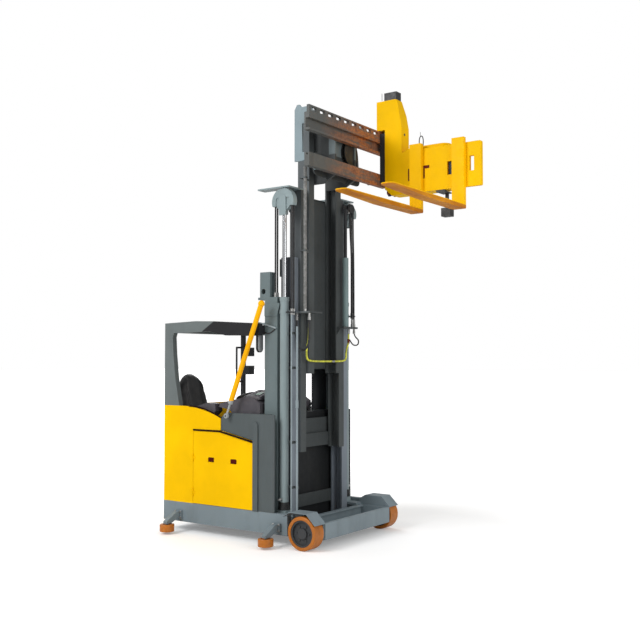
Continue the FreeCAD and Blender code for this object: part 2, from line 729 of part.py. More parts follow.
def lift_yokes():
    """Head plate of the middle stage with a sheave, hood and tongue over each rod."""
    shelf = box(-700, yoke_shelf_front_x, middle_inner_y, mast_column_outer_y, middle_top_z, middle_top_z + 15)
    shelf = shelf.cut(box(-701, -560, middle_inner_y - 1, mast_half_width - 20, middle_top_z - 1, middle_top_z + 16))
    web = box(barrel_x - 40, barrel_x + 40, barrel_y - 12, barrel_y + 12, rod_top_z + 30, middle_top_z)
    seat = cyl_z(barrel_x, barrel_y, 38, rod_top_z, rod_top_z + 40)
    sheave = cyl_y(barrel_x, yoke_sheave_z, yoke_sheave_radius, barrel_y - 26, barrel_y + 26)
    hood = cyl_y(barrel_x, yoke_sheave_z, 138, barrel_y - 30, barrel_y + 34)
    hood = hood.cut(cyl_y(barrel_x, yoke_sheave_z, 122, barrel_y - 31, barrel_y + 26))
    hood = hood.cut(cyl_y(barrel_x, yoke_sheave_z, 88, barrel_y + 20, barrel_y + 40))
    hood = hood.cut(box(barrel_x - 88, barrel_x + 88, 0, 900, 3000, yoke_sheave_z))
    hood = hood.cut(box(barrel_x - 200, barrel_x + 200, 0, 900, 3000, yoke_sheave_z - 45))
    bridge = box(barrel_x - 100, barrel_x + 100, barrel_y + 24, barrel_y + 34, yoke_sheave_z + 40, yoke_sheave_z + 100)
    crown = box(barrel_x - 30, barrel_x + 30, barrel_y - 12, barrel_y + 12, yoke_sheave_z + 90, yoke_sheave_z + 130)
    tongue = box(barrel_x - 42, barrel_x + 42, barrel_y + 25, barrel_y + 40, rod_top_z - 10, yoke_sheave_z + 30)
    tongue = fuse([tongue, cyl_y(barrel_x, yoke_sheave_z + 30, 42, barrel_y + 25, barrel_y + 40)])
    lug = box(barrel_x - 38, barrel_x + 38, barrel_y, barrel_y + 26, rod_top_z, rod_top_z + 36)
    return pair(fuse([shelf, web, seat, sheave, hood, bridge, crown, tongue, lug]))


def inner_rails():
    """Inner stage rails. The left one carries the free-lift cylinder's shelf, the right one a hose plate."""
    rail = channel(inner_front_x, inner_inner_y, inner_outer_y, inner_bottom_z, inner_top_z)
    roller = mast_roller(middle_front_x, inner_outer_y - 1, middle_outer_y - rail_web - 4, inner_bottom_z + 110)
    plain = fuse([rail, roller])
    shelf = fuse([box(inner_front_x, free_x + 45, inner_inner_y + 10, free_y + 45, free_bottom_z - 20, free_bottom_z),
                  box(free_x - 20, free_x + 45, free_y + 40, outer_inner_y + hose_shelf_reach,
                      free_bottom_z - 20, free_bottom_z)])
    rib = plate_xz([(inner_front_x, free_bottom_z - 90), (inner_front_x, free_bottom_z - 19), (free_x, free_bottom_z - 19)],
                   inner_inner_y + 10, inner_inner_y + 22)
    z0, z1 = hose_plate_z, hose_plate_z + hose_plate_thickness
    reach = outer_inner_y + hose_plate_reach
    plate = fuse([box(inner_front_x - 2, hose_plate_front_x, inner_outer_y - 44, reach, z0, z1),
                  box(mast_front_x + stage_gap, hose_plate_front_x, outer_inner_y + 2, reach, z0, z1)])
    return [fuse([plain, shelf, rib]), other_side(fuse([plain, plate]))]


def inner_crossmembers():
    back = inner_back_x
    spans = ((inner_bottom_z + 45, 3550), (inner_top_z - 160, inner_top_z - 20))
    return [box(back - 12, back, -inner_outer_y, inner_outer_y, z0, z1) for z0, z1 in spans]


def free_lift_barrel():
    tube = cyl_z(free_x, free_y, free_radius, free_bottom_z, free_top_z)
    tube = tube.cut(cyl_z(free_x, free_y, free_radius - 7, free_bottom_z + 15, free_top_z - 25))
    tube = tube.cut(cyl_z(free_x, free_y, free_rod_radius + fit_gap, free_top_z - 40, free_top_z + 1))
    return tube


def free_lift_rod():
    """Rod and outboard sheave of the free-lift cylinder."""
    rod = cyl_z(free_x, free_y, free_rod_radius, free_bottom_z + 520, free_rod_top_z)
    head = box(free_x - 26, free_x - 8, free_y - 24, free_sheave_y + 30, free_rod_top_z - 10, free_sheave_z + 36)
    block = box(free_x - 26, free_x + 24, free_y - 24, free_y + 24, free_rod_top_z - 10, free_rod_top_z + 30)
    sheave = cyl_x(free_sheave_y, free_sheave_z, free_sheave_radius, free_x - 9, free_x + 24)
    groove = cyl_x(free_sheave_y, free_sheave_z, free_sheave_radius + 5, free_x, free_x + 16)
    groove = groove.cut(cyl_x(free_sheave_y, free_sheave_z, free_sheave_radius - 12, free_x, free_x + 16))
    return fuse([rod, head, block, sheave.cut(groove)])


# ---------------------------------------------------------------- carriage and traverse frame

def lift_carriage():
    """Side plates with mast rollers, front plate and apron."""
    plate_x0 = inner_back_x + rail_flange + 8
    side = plate_xz([(plate_x0, carriage_bottom_z), (plate_x0, carriage_top_z), (rail_back_x, carriage_top_z - 60),
                     (rail_back_x, lower_rail_z[0] + 6), (-150, carriage_bottom_z)],
                    carriage_side - carriage_plate, carriage_side)
    rollers = [mast_roller(inner_front_x, carriage_side - 1, inner_outer_y - rail_web - 4, z)
               for z in (roller_low_z, roller_high_z)]
    apron = box(-118, -102, carriage_side - 1, 430, 3735, 3966)
    apron = apron.makeFillet(55, [e for e in edges_along(apron, V(1, 0, 0)) if e.BoundBox.YMin > 400])
    half = fuse([side, apron] + rollers)
    front = box(-75, -60, -carriage_side + 1, carriage_side - 1, 3850, 4300)
    low = box(-118, -102, -carriage_side + 1, carriage_side - 1, 3735, 3860)
    return fuse([half, other_side(half), front, low])


def traverse_rails():
    """Upper and lower rails across the front of the carriage."""
    back, front = rail_back_x, rail_back_x + rail_depth
    z0, z1 = upper_rail_z
    upper = box(back, front, -traverse_half, traverse_half, z0, z1)
    upper = upper.cut(box(back + 16, front + 1, -traverse_half - 1, traverse_half + 1, z0 + 22, z1 - 60))
    z0, z1 = lower_rail_z
    lower = box(back, front, -traverse_half, traverse_half, z0, z1)
    lower = lower.cut(box(back + 25, back + 42, -traverse_half - 1, traverse_half + 1, z1 - 25, z1 + 1))
    return [upper, lower]


def traverse_rack():
    """Slotted rack strip along the top of the upper rail."""
    strip = box(rail_back_x + 30, rail_back_x + rail_depth, -traverse_half, traverse_half, upper_rail_z[1], rack_top_z)
    count = int(2 * traverse_half / rack_pitch)
    for i in range(count):
        y = (i - (count - 1) / 2.0) * rack_pitch
        slot = box(0, 200, y - 42, y + 42, upper_rail_z[1] + 18, rack_top_z - 16)
        strip = strip.cut(slot)
    return strip


def traverse_ends():
    """C-shaped plates that carry the rails outside the mast."""
    y0, y1 = end_plate_y, end_plate_y + 20
    outline = [(-285, 3868), (-285, 4400), (-255, 4450), (-225, 4450), (-200, 4420), (-90, 4420), (rail_back_x, 4290),
               (rail_back_x, 4250), (-190, 4250), (-190, lower_rail_z[1] + 74), (rail_back_x, lower_rail_z[1] + 14),
               (rail_back_x, lower_rail_z[0] + 8), (-40, lower_rail_z[0] + 8), (-120, lower_rail_z[1] - 18)]
    return pair(plate_xz(outline, y0, y1))


# ---------------------------------------------------------------- turret

def turret_column():
    """Column and forward arm that carry the fork carriage's pivot."""
    y0, y1 = column_y - column_half, column_y + column_half
    hook_z = rack_top_z + move_gap + 1
    column_outline = [
        (column_rear_x, arm_bottom_z + 70), (column_rear_x, hook_z), (28, hook_z), (28, column_top_z - 3),
        (262, column_top_z - 3), (285, column_top_z - 12), (column_front_x, 4370), (column_front_x, arm_bottom_z + 70)]
    column = plate_xz(column_outline, y0, y1)
    bevel = plate_yz([(y1 - 55, column_top_z + 1), (y1 + 1, column_top_z + 1), (y1 + 1, column_top_z - 170)],
                     0, column_front_x + 1)
    column = column.cut(bevel)
    arm_outline = [
        (column_rear_x + 20, arm_bottom_z + 60), (220, arm_bottom_z), (pivot_x, arm_bottom_z), (pivot_x, arm_top_z),
        (450, arm_top_z), (column_front_x, arm_top_z - 45), (column_rear_x + 20, arm_top_z - 45)]
    arm = plate_xz(arm_outline, y0, y1)
    end = cyl_z(pivot_x, column_y, column_half, arm_bottom_z, arm_top_z)
    turret = fuse([column, arm, end])
    gap = move_gap + 3
    turret = turret.cut(box(pivot_x - drum_radius - gap, pivot_x + 200, y0 - 1, y1 + 1, drum_bottom_z - gap, drum_top_z + gap))
    pin = cyl_z(pivot_x, column_y, pivot_radius, arm_bottom_z + 10, arm_top_z - 10)
    return fuse([turret, pin])


def turret_slide_block():
    """Dark block behind the column that runs on the two rails."""
    y0, y1 = column_y - column_half + 12, column_y + column_half - 12
    face = rail_back_x + rail_depth + slide_gap
    plate = box(face, column_rear_x, y0, y1, 3790, 4330)
    return plate


def turret_sensor_box():
    """Sensor case on top of the column."""
    case = box(105, 262, column_y - 50, column_y + 55, column_top_z - 3, column_top_z + 92)
    return case.makeFillet(6, edges_along(case, V(0, 0, 1)))


# ---------------------------------------------------------------- fork carriage

fork_face_y = column_y - column_half - move_gap


def fork_carriage():
    """Pivoting plate with its drum, neck and two windows."""
    x0, x1 = pivot_x - fork_plate_left, pivot_x + fork_plate_right
    z0, z1 = fork_plate_z
    plate = box(x0, x1, fork_face_y - fork_plate, fork_face_y, z0, z1)
    plate = plate.makeFillet(14, [e for e in edges_along(plate, V(0, 1, 0))])
    for wx0, wx1, wz0, wz1 in ((918, 980, 3766, 3908), (1168, 1222, 3780, 3935)):
        plate = plate.cut(box(wx0, wx1, 0, 1000, wz0, wz1))
    drum = cyl_z(pivot_x, column_y, drum_radius, drum_bottom_z, drum_top_z)
    neck = box(pivot_x - drum_radius, pivot_x + drum_radius, fork_face_y - 1, column_y,
               drum_bottom_z, drum_top_z)
    body = fuse([plate, drum, neck])
    return body.cut(cyl_z(pivot_x, column_y, pivot_radius + fit_gap, 3000, 5000))


def fork_blade(x):
    """L-shaped fork pointing to -Y, tapered and rounded at its tip."""
    face = fork_face_y - fork_plate
    heel = face - fork_shank
    tip = heel - fork_length
    z0 = fork_bottom_z
    top = z0 + fork_thickness
    outline = [(face, z0 + 12), (face, fork_shank_top_z), (heel, fork_shank_top_z), (heel, top + 20),
               (heel - 20, top), (tip, top), (tip, top - 14), (tip + 700, z0), (face - 12, z0)]
    fork = plate_yz(outline, x - fork_width / 2, x + fork_width / 2)
    ends = [e for e in edges_along(fork, V(0, 0, 1)) if e.BoundBox.YMax < tip + 1]
    return fork.makeFillet(52, ends)


def fork_blades():
    return [fork_blade(pivot_x - fork_spread / 2), fork_blade(pivot_x + fork_spread / 2)]


def camera_post():
    """Camera case on a post under the pivot."""
    under = fork_plate_z[0]
    bracket = box(pivot_x - 30, pivot_x + 70, fork_face_y - fork_plate + 4, column_y + 40, under - 22, under - 10)
    hanger = box(pivot_x - 30, pivot_x + 70, fork_face_y - fork_plate + 4, fork_face_y - 4, under - 11, under)
    post = box(pivot_x + 20, pivot_x + 50, column_y - 15, column_y + 15, 3440, under - 20)
    case = box(pivot_x - 15, pivot_x + 90, column_y - 45, column_y + 45, 3352, 3442)
    return fuse([bracket, hanger, post, case])


# ---------------------------------------------------------------- write the nodes

save("chassis_frame", [chassis_frame()])
save("wheel_covers", pair(wheel_cover()))
save("barrier_bar", [barrier_bar()])
save("cab_screen", [cab_screen()])
save("front_beam", [front_beam()])
save("roller_brackets", [shape for x in (guide_front_x, guide_rear_x) for shape in pair(roller_bracket(x))])
save("battery", [box(-990, -990 + battery_length, -battery_width / 2, battery_width / 2,
                     chassis_bottom_z + floor_plate, chassis_bottom_z + floor_plate + battery_height)])
save("rear_body", [rear_body()])
save("left_side_panel", [left_side_panel()])
save("service_door", [service_door()])
save("front_housing", [front_housing()])
save("cab_tub", [cab_tub()])
save("dashboard", [dashboard()])
save("armrest_console", [armrest_console()])
save("steering_wheel", [steering_wheel()])
save("seat_cushion", [seat_cushion()])
save("seat_backrest", [seat_backrest()])
save("overhead_guard", [overhead_guard()])
save("guard_roof", guard_roof())
save("cab_post", [cab_post()])
save("cab_mirror", [cab_mirror()])
save("mast_columns", [mast_columns()])
save("outer_rails", outer_rails())
save("outer_crossmembers", outer_crossmembers())
save("lift_barrels", lift_barrels())
save("middle_rails", middle_rails())
save("middle_crossmembers", middle_crossmembers())
save("lift_rods", lift_rods())
save("lift_yokes", lift_yokes())
save("inner_rails", inner_rails())
save("inner_crossmembers", inner_crossmembers())
save("free_lift_barrel", [free_lift_barrel()])
save("free_lift_rod", [free_lift_rod()])
save("lift_carriage", [lift_carriage()])
save("traverse_rails", traverse_rails())
save("traverse_rack", [traverse_rack()])
save("traverse_ends", traverse_ends())
save("turret_column", [turret_column()])
save("turret_slide_block", [turret_slide_block()])
save("turret_sensor_box", [turret_sensor_box()])
save("fork_carriage", [fork_carriage()])
save("fork_blades", fork_blades())
save("camera_post", [camera_post()])
save("drive_yoke", [drive_yoke()])
save("drive_tyre", [drive_tyre()])
save("drive_hub", [drive_hub()])
for side, label in ((1, "left"), (-1, "right")):
    save("load_tyre_" + label, [load_tyre(side)])
    save("load_hub_" + label, [load_hub(side)])
    save("guide_roller_front_" + label, [guide_roller(guide_front_x, side)])
    save("guide_roller_rear_" + label, [guide_roller(guide_rear_x, side)])
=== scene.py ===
"""Looks of the turret truck: materials, rigging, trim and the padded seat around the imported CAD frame."""

import math

import bmesh
import bpy
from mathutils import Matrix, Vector


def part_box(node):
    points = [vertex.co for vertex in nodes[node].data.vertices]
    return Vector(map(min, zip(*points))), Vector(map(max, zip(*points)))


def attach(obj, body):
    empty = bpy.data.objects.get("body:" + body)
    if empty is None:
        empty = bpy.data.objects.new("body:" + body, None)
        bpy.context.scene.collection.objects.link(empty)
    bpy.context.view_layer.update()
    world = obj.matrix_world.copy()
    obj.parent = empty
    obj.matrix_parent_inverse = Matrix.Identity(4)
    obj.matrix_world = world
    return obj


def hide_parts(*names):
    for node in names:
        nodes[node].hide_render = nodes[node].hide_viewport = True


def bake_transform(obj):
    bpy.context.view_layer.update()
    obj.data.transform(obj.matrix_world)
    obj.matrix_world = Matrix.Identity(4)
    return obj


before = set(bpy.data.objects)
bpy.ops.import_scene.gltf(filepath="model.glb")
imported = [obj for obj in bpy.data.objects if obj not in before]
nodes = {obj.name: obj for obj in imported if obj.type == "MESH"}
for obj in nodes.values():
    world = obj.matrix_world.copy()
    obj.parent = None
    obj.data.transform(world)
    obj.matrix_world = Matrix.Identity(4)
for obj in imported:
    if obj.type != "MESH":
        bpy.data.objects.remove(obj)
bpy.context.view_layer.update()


# ---------------------------------------------------------------- materials

class Nodes:
    """Small helper around one material's node tree."""

    def __init__(self, name):
        self.mat = bpy.data.materials.new(name)
        self.mat.use_nodes = True
        self.tree = self.mat.node_tree
        self.bsdf = self.tree.nodes["Principled BSDF"]
        self.coord = self.tree.nodes.new("ShaderNodeTexCoord")

    def add(self, kind, **values):
        node = self.tree.nodes.new(kind)
        for key, value in values.items():
            setattr(node, key, value)
        return node

    def link(self, a, b):
        self.tree.links.new(a, b)

    def mapped(self, scale=(1, 1, 1)):
        node = self.add("ShaderNodeMapping")
        node.inputs["Scale"].default_value = scale
        self.link(self.coord.outputs["Object"], node.inputs["Vector"])
        return node.outputs["Vector"]

    def noise(self, scale, detail=3.0, rough=0.55, stretch=(1, 1, 1)):
        node = self.add("ShaderNodeTexNoise")
        node.inputs["Scale"].default_value = scale
        node.inputs["Detail"].default_value = detail
        node.inputs["Roughness"].default_value = rough
        self.link(self.mapped(stretch), node.inputs["Vector"])
        return node.outputs["Fac"]

    def ramp(self, value, low, high, out_low=0.0, out_high=1.0):
        node = self.add("ShaderNodeMapRange")
        node.inputs["From Min"].default_value = low
        node.inputs["From Max"].default_value = high
        node.inputs["To Min"].default_value = out_low
        node.inputs["To Max"].default_value = out_high
        self.link(value, node.inputs["Value"])
        return node.outputs["Result"]

    def mix(self, factor, first, second):
        """Colour mix. first and second are colours or sockets."""
        node = self.add("ShaderNodeMix", data_type="RGBA")
        self.link(factor, node.inputs["Factor"])
        for socket, value in ((node.inputs[6], first), (node.inputs[7], second)):
            if isinstance(value, tuple):
                socket.default_value = (*value, 1)
            else:
                self.link(value, socket)
        return node.outputs[2]

    def times(self, a, b):
        node = self.add("ShaderNodeMath", operation="MULTIPLY")
        for socket, value in zip(node.inputs, (a, b)):
            if isinstance(value, float):
                socket.default_value = value
            else:
                self.link(value, socket)
        return node.outputs[0]

    def axis(self, name):
        node = self.add("ShaderNodeSeparateXYZ")
        self.link(self.coord.outputs["Object"], node.inputs[0])
        return node.outputs[name]

    def bump(self, height, strength, distance):
        node = self.add("ShaderNodeBump")
        node.inputs["Strength"].default_value = strength
        node.inputs["Distance"].default_value = distance
        self.link(height, node.inputs["Height"])
        self.link(node.outputs["Normal"], self.bsdf.inputs["Normal"])

    def finish(self, colour, roughness=None):
        self.link(colour, self.bsdf.inputs["Base Color"])
        if roughness is not None:
            self.link(roughness, self.bsdf.inputs["Roughness"])
        return self.mat


def shade(rgb, k):
    return tuple(min(1.0, c * k) for c in rgb)


def painted(name, rgb, rough=(0.32, 0.5), dirt=0.25, grime=(0.05, 0.05, 0.05), chips=None, coat=0.0, extra=None):
    """Sprayed paint: slight colour drift, streaked dirt, orange peel, optional chips."""
    n = Nodes(name)
    colour = n.mix(n.ramp(n.noise(2.3), 0.35, 0.65), shade(rgb, 0.93), shade(rgb, 1.05))
    if extra:
        colour = extra(n, colour)
    streak = n.ramp(n.noise(7.0, 5.0, 0.6, (1, 1, 0.22)), 0.52, 0.8)
    colour = n.mix(n.times(streak, dirt), colour, grime)
    if chips:
        spots = n.ramp(n.noise(38.0, 4.0, 0.7), 0.70, 0.73)
        patch = n.ramp(n.noise(3.0, 2.0), 0.5, 0.62)
        colour = n.mix(n.times(spots, patch), colour, chips)
    rough_map = n.ramp(n.noise(16.0, 4.0), 0.3, 0.7, *rough)
    n.bump(n.noise(420.0, 1.0), 0.09, 0.0006)
    n.bsdf.inputs["Coat Weight"].default_value = coat
    n.bsdf.inputs["Specular IOR Level"].default_value = 0.18
    return n.finish(colour, rough_map)


def metal(name, rgb, rough=(0.2, 0.4), brushed=(1, 1, 1), stain=0.2):
    n = Nodes(name)
    line = n.noise(60.0, 3.0, 0.6, brushed)
    colour = n.mix(n.ramp(line, 0.3, 0.7), shade(rgb, 0.85), rgb)
    blot = n.ramp(n.noise(9.0, 4.0), 0.55, 0.8)
    colour = n.mix(n.times(blot, stain), colour, (0.03, 0.025, 0.02))
    n.bsdf.inputs["Metallic"].default_value = 1.0
    n.bump(line, 0.05, 0.0005)
    return n.finish(colour, n.ramp(line, 0.3, 0.7, *rough))


def plastic(name, rgb, rough=(0.45, 0.65), grain=700.0, depth=0.15, dust=0.12):
    n = Nodes(name)
    colour = n.mix(n.ramp(n.noise(5.0), 0.35, 0.65), shade(rgb, 0.85), shade(rgb, 1.15))
    film = n.ramp(n.noise(12.0, 5.0), 0.5, 0.8)
    colour = n.mix(n.times(film, dust), colour, (0.3, 0.28, 0.25))
    n.bump(n.noise(grain, 2.0), depth, 0.0006)
    return n.finish(colour, n.ramp(n.noise(20.0), 0.3, 0.7, *rough))


def rubber_hose(name, rgb):
    n = Nodes(name)
    colour = n.mix(n.ramp(n.noise(30.0, 4.0), 0.4, 0.7), rgb, shade(rgb, 1.9))
    n.bump(n.noise(240.0, 2.0, 0.5, (1, 1, 0.15)), 0.25, 0.001)
    return n.finish(colour, n.ramp(n.noise(18.0), 0.3, 0.7, 0.42, 0.62))


def seat_vinyl(name):
    """Black vinyl with a fine leather-like grain."""
    n = Nodes(name)
    cell = n.add("ShaderNodeTexVoronoi")
    cell.inputs["Scale"].default_value = 330.0
    n.link(n.mapped(), cell.inputs["Vector"])
    colour = n.mix(n.ramp(n.noise(9.0, 4.0), 0.4, 0.7), (0.012, 0.012, 0.013), (0.03, 0.029, 0.028))
    n.bump(cell.outputs["Distance"], 0.35, 0.0012)
    n.bsdf.inputs["Sheen Weight"].default_value = 0.15
    return n.finish(colour, n.ramp(n.noise(14.0), 0.3, 0.7, 0.36, 0.52))


def polyurethane(name, rgb):
    """Cast polyurethane tread, scuffed dark where it runs."""
    n = Nodes(name)
    colour = n.mix(n.ramp(n.noise(6.0, 4.0), 0.35, 0.65), shade(rgb, 0.85), rgb)
    scuff = n.ramp(n.noise(22.0, 6.0, 0.65), 0.5, 0.75)
    colour = n.mix(n.times(scuff, 0.45), colour, (0.16, 0.07, 0.02))
    n.bump(n.noise(120.0, 3.0), 0.15, 0.001)
    n.bsdf.inputs["Subsurface Weight"].default_value = 0.05
    n.bsdf.inputs["Subsurface Radius"].default_value = (0.02, 0.01, 0.004)
    return n.finish(colour, n.ramp(scuff, 0.0, 1.0, 0.38, 0.62))


def rust_layer(start, end, axis="Y", amount=0.9):
    """Rust that grows along one axis between two places."""
    def build(n, colour):
        along = n.ramp(n.axis(axis), start, end)
        patch = n.ramp(n.noise(9.0, 6.0, 0.7, (1, 0.3, 2.2)), 0.34, 0.58)
        rust = n.mix(n.ramp(n.noise(40.0, 4.0), 0.4, 0.65), (0.50, 0.155, 0.03), (0.22, 0.06, 0.014))
        return n.mix(n.times(n.times(along, patch), amount), colour, rust)
    return build


def roof_layer(n, colour):
    """Black front part of the roof members, with a slanted edge."""
    x, z = n.axis("X"), n.axis("Z")
    slant = n.add("ShaderNodeMath", operation="MULTIPLY_ADD")
    slant.inputs[1].default_value = -1.6
    slant.inputs[2].default_value = 3.5
    n.link(z, slant.inputs[0])
    total = n.add("ShaderNodeMath", operation="ADD")
    n.link(x, total.inputs[0])
    n.link(slant.outputs[0], total.inputs[1])
    above = n.ramp(z, 2.03, 2.05)
    edge = n.ramp(total.outputs[0], -1.32, -1.31)
    return n.mix(n.times(edge, above), colour, (0.018, 0.018, 0.02))


def painted_side_shading(outer):
    """Painted light and shade by facing: the faces that look outwards in Y take the given grey, a painted light on the
    middle and inner rails and a painted shade on the outer rails. All the others keep the base colour, near black on
    the middle and inner rails.
    """
    def build(n, colour):
        split = n.add("ShaderNodeSeparateXYZ")
        n.link(n.coord.outputs["Normal"], split.inputs[0])
        square = n.times(split.outputs["Y"], split.outputs["Y"])
        place_y = n.axis("Y")
        sign = n.ramp(n.times(split.outputs["Y"], place_y), 0.0, 0.05)
        return n.mix(n.times(n.ramp(square, 0.6, 0.8), sign), colour, outer)
    return build


def housing_layer(n, colour):
    """Black front wall between the mast columns."""
    y = n.axis("Y")
    inside = n.ramp(n.times(y, y), 0.251, 0.253, 1.0, 0.0)
    forward = n.ramp(n.axis("X"), -0.535, -0.53)
    return n.mix(n.times(inside, forward), colour, (0.014, 0.015, 0.016))


def front_plate(n, colour):
    """Lighter grey on the carriage's front plate."""
    forward = n.ramp(n.axis("X"), -0.077, -0.075)
    high = n.ramp(n.axis("Z"), 3.97, 3.98)
    return n.mix(n.times(forward, high), colour, (0.13, 0.16, 0.168))


def bar_foot(n, colour):
    """Bare steel end at the barrier bar's foot."""
    return n.mix(n.ramp(n.axis("Z"), 1.418, 1.422, 1.0, 0.0), colour, (0.33, 0.35, 0.35))


def painted_blade_shade(n, colour):
    """Painted shade: orange-brown sides and underside on the blades in two streaked tones, with the yellow paint kept
    only along their top edge, where the highlight falls.
    """
    low = n.ramp(n.axis("Z"), 3.424, 3.434, 1.0, 0.0)
    streaks = n.ramp(n.noise(7.0, 5.0, 0.6, (1, 0.3, 1)), 0.35, 0.65)
    blade_shade_brown = n.mix(streaks, (0.66, 0.27, 0.014), (0.42, 0.13, 0.01))
    return n.mix(low, colour, blade_shade_brown)


YELLOW = (0.87, 0.5, 0.0)
GREY = (0.188, 0.232, 0.255)
MAST_DARK = (0.068, 0.076, 0.077)
BLACK = (0.013, 0.0135, 0.014)

# colours of the dirt on the paint and of the metal under its chips
GREASE = (0.055, 0.055, 0.05)
DUST = (0.06, 0.06, 0.06)
SOOT = (0.03, 0.028, 0.025)
OIL = (0.05, 0.045, 0.04)
STAIN = (0.02, 0.01, 0.01)
UNDERCOAT = (0.04, 0.035, 0.03)

FLAT = (0.38, 0.55)  # roughness range of the grey paint
DULL = 0.04  # specular level of paint that would otherwise wash out

mats = {
    "yellow": painted("yellow_paint", YELLOW, (0.4, 0.52), 0.05, (0.42, 0.2, 0.01)),
    "orange": painted("bar_paint", (0.93, 0.43, 0.005), (0.3, 0.45), 0.12, (0.3, 0.12, 0.01),
                      chips=(0.2, 0.19, 0.18), extra=bar_foot),
    # fork blades: orange-brown painted shade below their top edge
    "fork": painted("fork_paint", (0.9, 0.5, 0.002), (0.32, 0.5), 0.14, (0.3, 0.1, 0.01),
                    chips=(0.12, 0.11, 0.1), extra=painted_blade_shade),
    "grey": painted("grey_paint", GREY, FLAT, 0.3, GREASE, chips=UNDERCOAT),
    "column_grey": painted("column_paint", (0.132, 0.168, 0.174), FLAT, 0.3, GREASE, chips=UNDERCOAT),
    # front beam: a slightly lighter copy of the grey paint, as painted light for its front face
    "lit_beam_grey": painted("lit_beam_paint", (0.2, 0.245, 0.268), FLAT, 0.25, GREASE, chips=UNDERCOAT),
    "end_grey": painted("end_plate_paint", (0.215, 0.275, 0.3), FLAT, 0.25, GREASE, chips=UNDERCOAT),
    "housing": painted("housing_paint", (0.082, 0.097, 0.1), FLAT, 0.3, GREASE, extra=housing_layer),
    # outer, middle and inner rails: painted side shading, with the faces that look outwards in Y darker on the outer
    # rails and lighter on the middle and inner rails
    "outer_mast": painted("outer_mast_paint", (0.19, 0.218, 0.25), (0.4, 0.6), 0.3, (0.03, 0.03, 0.028),
                          extra=painted_side_shading((0.062, 0.068, 0.08))),
    "mast": painted("mast_paint", MAST_DARK, (0.4, 0.6), 0.4, SOOT, extra=painted_side_shading((0.1, 0.112, 0.118))),
    "pipe": painted("pipe_paint", (0.26, 0.31, 0.33), (0.28, 0.4), 0.15, DUST),
    # mirror glass: pale grey paint as a painted reflection
    "pale": painted("mirror_painted_reflection", (0.5, 0.52, 0.53), (0.3, 0.4), 0.05, (0.3, 0.3, 0.3)),
    "trim": painted("dark_trim", (0.014, 0.005, 0.004), (0.6, 0.7), 0.1, STAIN),
    "slot": painted("slot_shadow", (0.12, 0.012, 0.004), (0.7, 0.8), 0.2, STAIN),
    "mast_dark": painted("mast_inside", (0.055, 0.062, 0.063), (0.5, 0.7), 0.25, SOOT),
    "carriage": painted("carriage_paint", (0.05, 0.055, 0.056), (0.4, 0.6), 0.35, OIL, extra=front_plate),
    "guard": painted("guard_paint", (0.135, 0.155, 0.155), (0.4, 0.55), 0.15, (0.06, 0.06, 0.055), extra=roof_layer),
    "rusty": painted("worn_rail", (0.1, 0.105, 0.102), (0.4, 0.7), 0.4, OIL,
                     chips=(0.2, 0.08, 0.03), extra=rust_layer(-0.5, 0.3)),
    "dark": painted("dark_steel", (0.03, 0.032, 0.035), (0.4, 0.6), 0.3, (0.08, 0.07, 0.06)),
    "interior": painted("dark_interior", (0.022, 0.023, 0.026), (0.45, 0.6), 0.3, (0.06, 0.055, 0.05)),
    "teal": painted("cylinder_paint", (0.18, 0.25, 0.25), (0.3, 0.45), 0.25, (0.05, 0.055, 0.05)),
    "barrel": painted("barrel_paint", (0.23, 0.285, 0.295), (0.26, 0.38), 0.15, DUST, coat=0.2),
    "brown": painted("primer", (0.16, 0.035, 0.012), (0.5, 0.7), 0.4, (0.05, 0.02, 0.01)),
    "battery": painted("battery_case", (0.04, 0.045, 0.05), (0.5, 0.65), 0.35, (0.1, 0.09, 0.08)),
    "chrome": metal("chrome_rod", (0.62, 0.63, 0.65), (0.08, 0.2), (1, 1, 0.1), 0.1),
    "steel": metal("zinc_steel", (0.45, 0.45, 0.44), (0.28, 0.45), (1, 1, 1), 0.3),
    "iron": painted("hub_iron", (0.05, 0.052, 0.055), (0.45, 0.7), 0.3, (0.12, 0.1, 0.08)),
    "dash": plastic("dash_plastic", (0.055, 0.05, 0.06)),
    "black": plastic("black_plastic", BLACK, (0.4, 0.6)),
    "red": painted("red_insert", (0.075, 0.008, 0.005), (0.5, 0.6), 0.1, STAIN),
    "screen": plastic("screen_glass", (0.12, 0.26, 0.2), (0.12, 0.2), grain=50.0, depth=0.01, dust=0.05),
    "poly": polyurethane("poly_tyre", (0.46, 0.135, 0.003)),
    "hose": rubber_hose("hose_rubber", (0.011, 0.011, 0.012)),
    "wrap": rubber_hose("hose_wrap", (0.16, 0.16, 0.155)),
    "lime": rubber_hose("lime_hose", (0.42, 0.42, 0.035)),
    "vinyl": seat_vinyl("seat_vinyl"),
}
for key in ("yellow", "fork", "orange", "trim", "red"):
    mats[key].node_tree.nodes["Principled BSDF"].inputs["Specular IOR Level"].default_value = DULL


# ---------------------------------------------------------------- mesh helpers

def place(obj, material, body):
    """Give a finished piece its material and body."""
    obj.data.materials.clear()
    obj.data.materials.append(mats[material] if isinstance(material, str) else material)
    if body:
        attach(obj, body)
    return obj


def from_bmesh(name, bm, smooth=True):
    data = bpy.data.meshes.new(name)
    bm.normal_update()
    bm.to_mesh(data)
    bm.free()
    if smooth:
        for polygon in data.polygons:
            polygon.use_smooth = True
        data.set_sharp_from_angle(angle=math.radians(38))
    obj = bpy.data.objects.new(name, data)
    bpy.context.collection.objects.link(obj)
    return obj


def add_box(bm, low, high, bevel=0.0):
    """Box between two corners with rounded edges, added to bm."""
    size = Vector(high) - Vector(low)
    made = bmesh.ops.create_cube(bm, size=1.0)
    verts = made["verts"]
    bmesh.ops.scale(bm, vec=size, verts=verts)
    bmesh.ops.translate(bm, vec=(Vector(low) + Vector(high)) / 2, verts=verts)
    if bevel:
        edges = list({e for v in verts for e in v.link_edges})
        made = bmesh.ops.bevel(bm, geom=edges, offset=bevel, segments=2, profile=0.5, affect="EDGES")
        verts = list({v for f in made["faces"] for v in f.verts})
    return verts


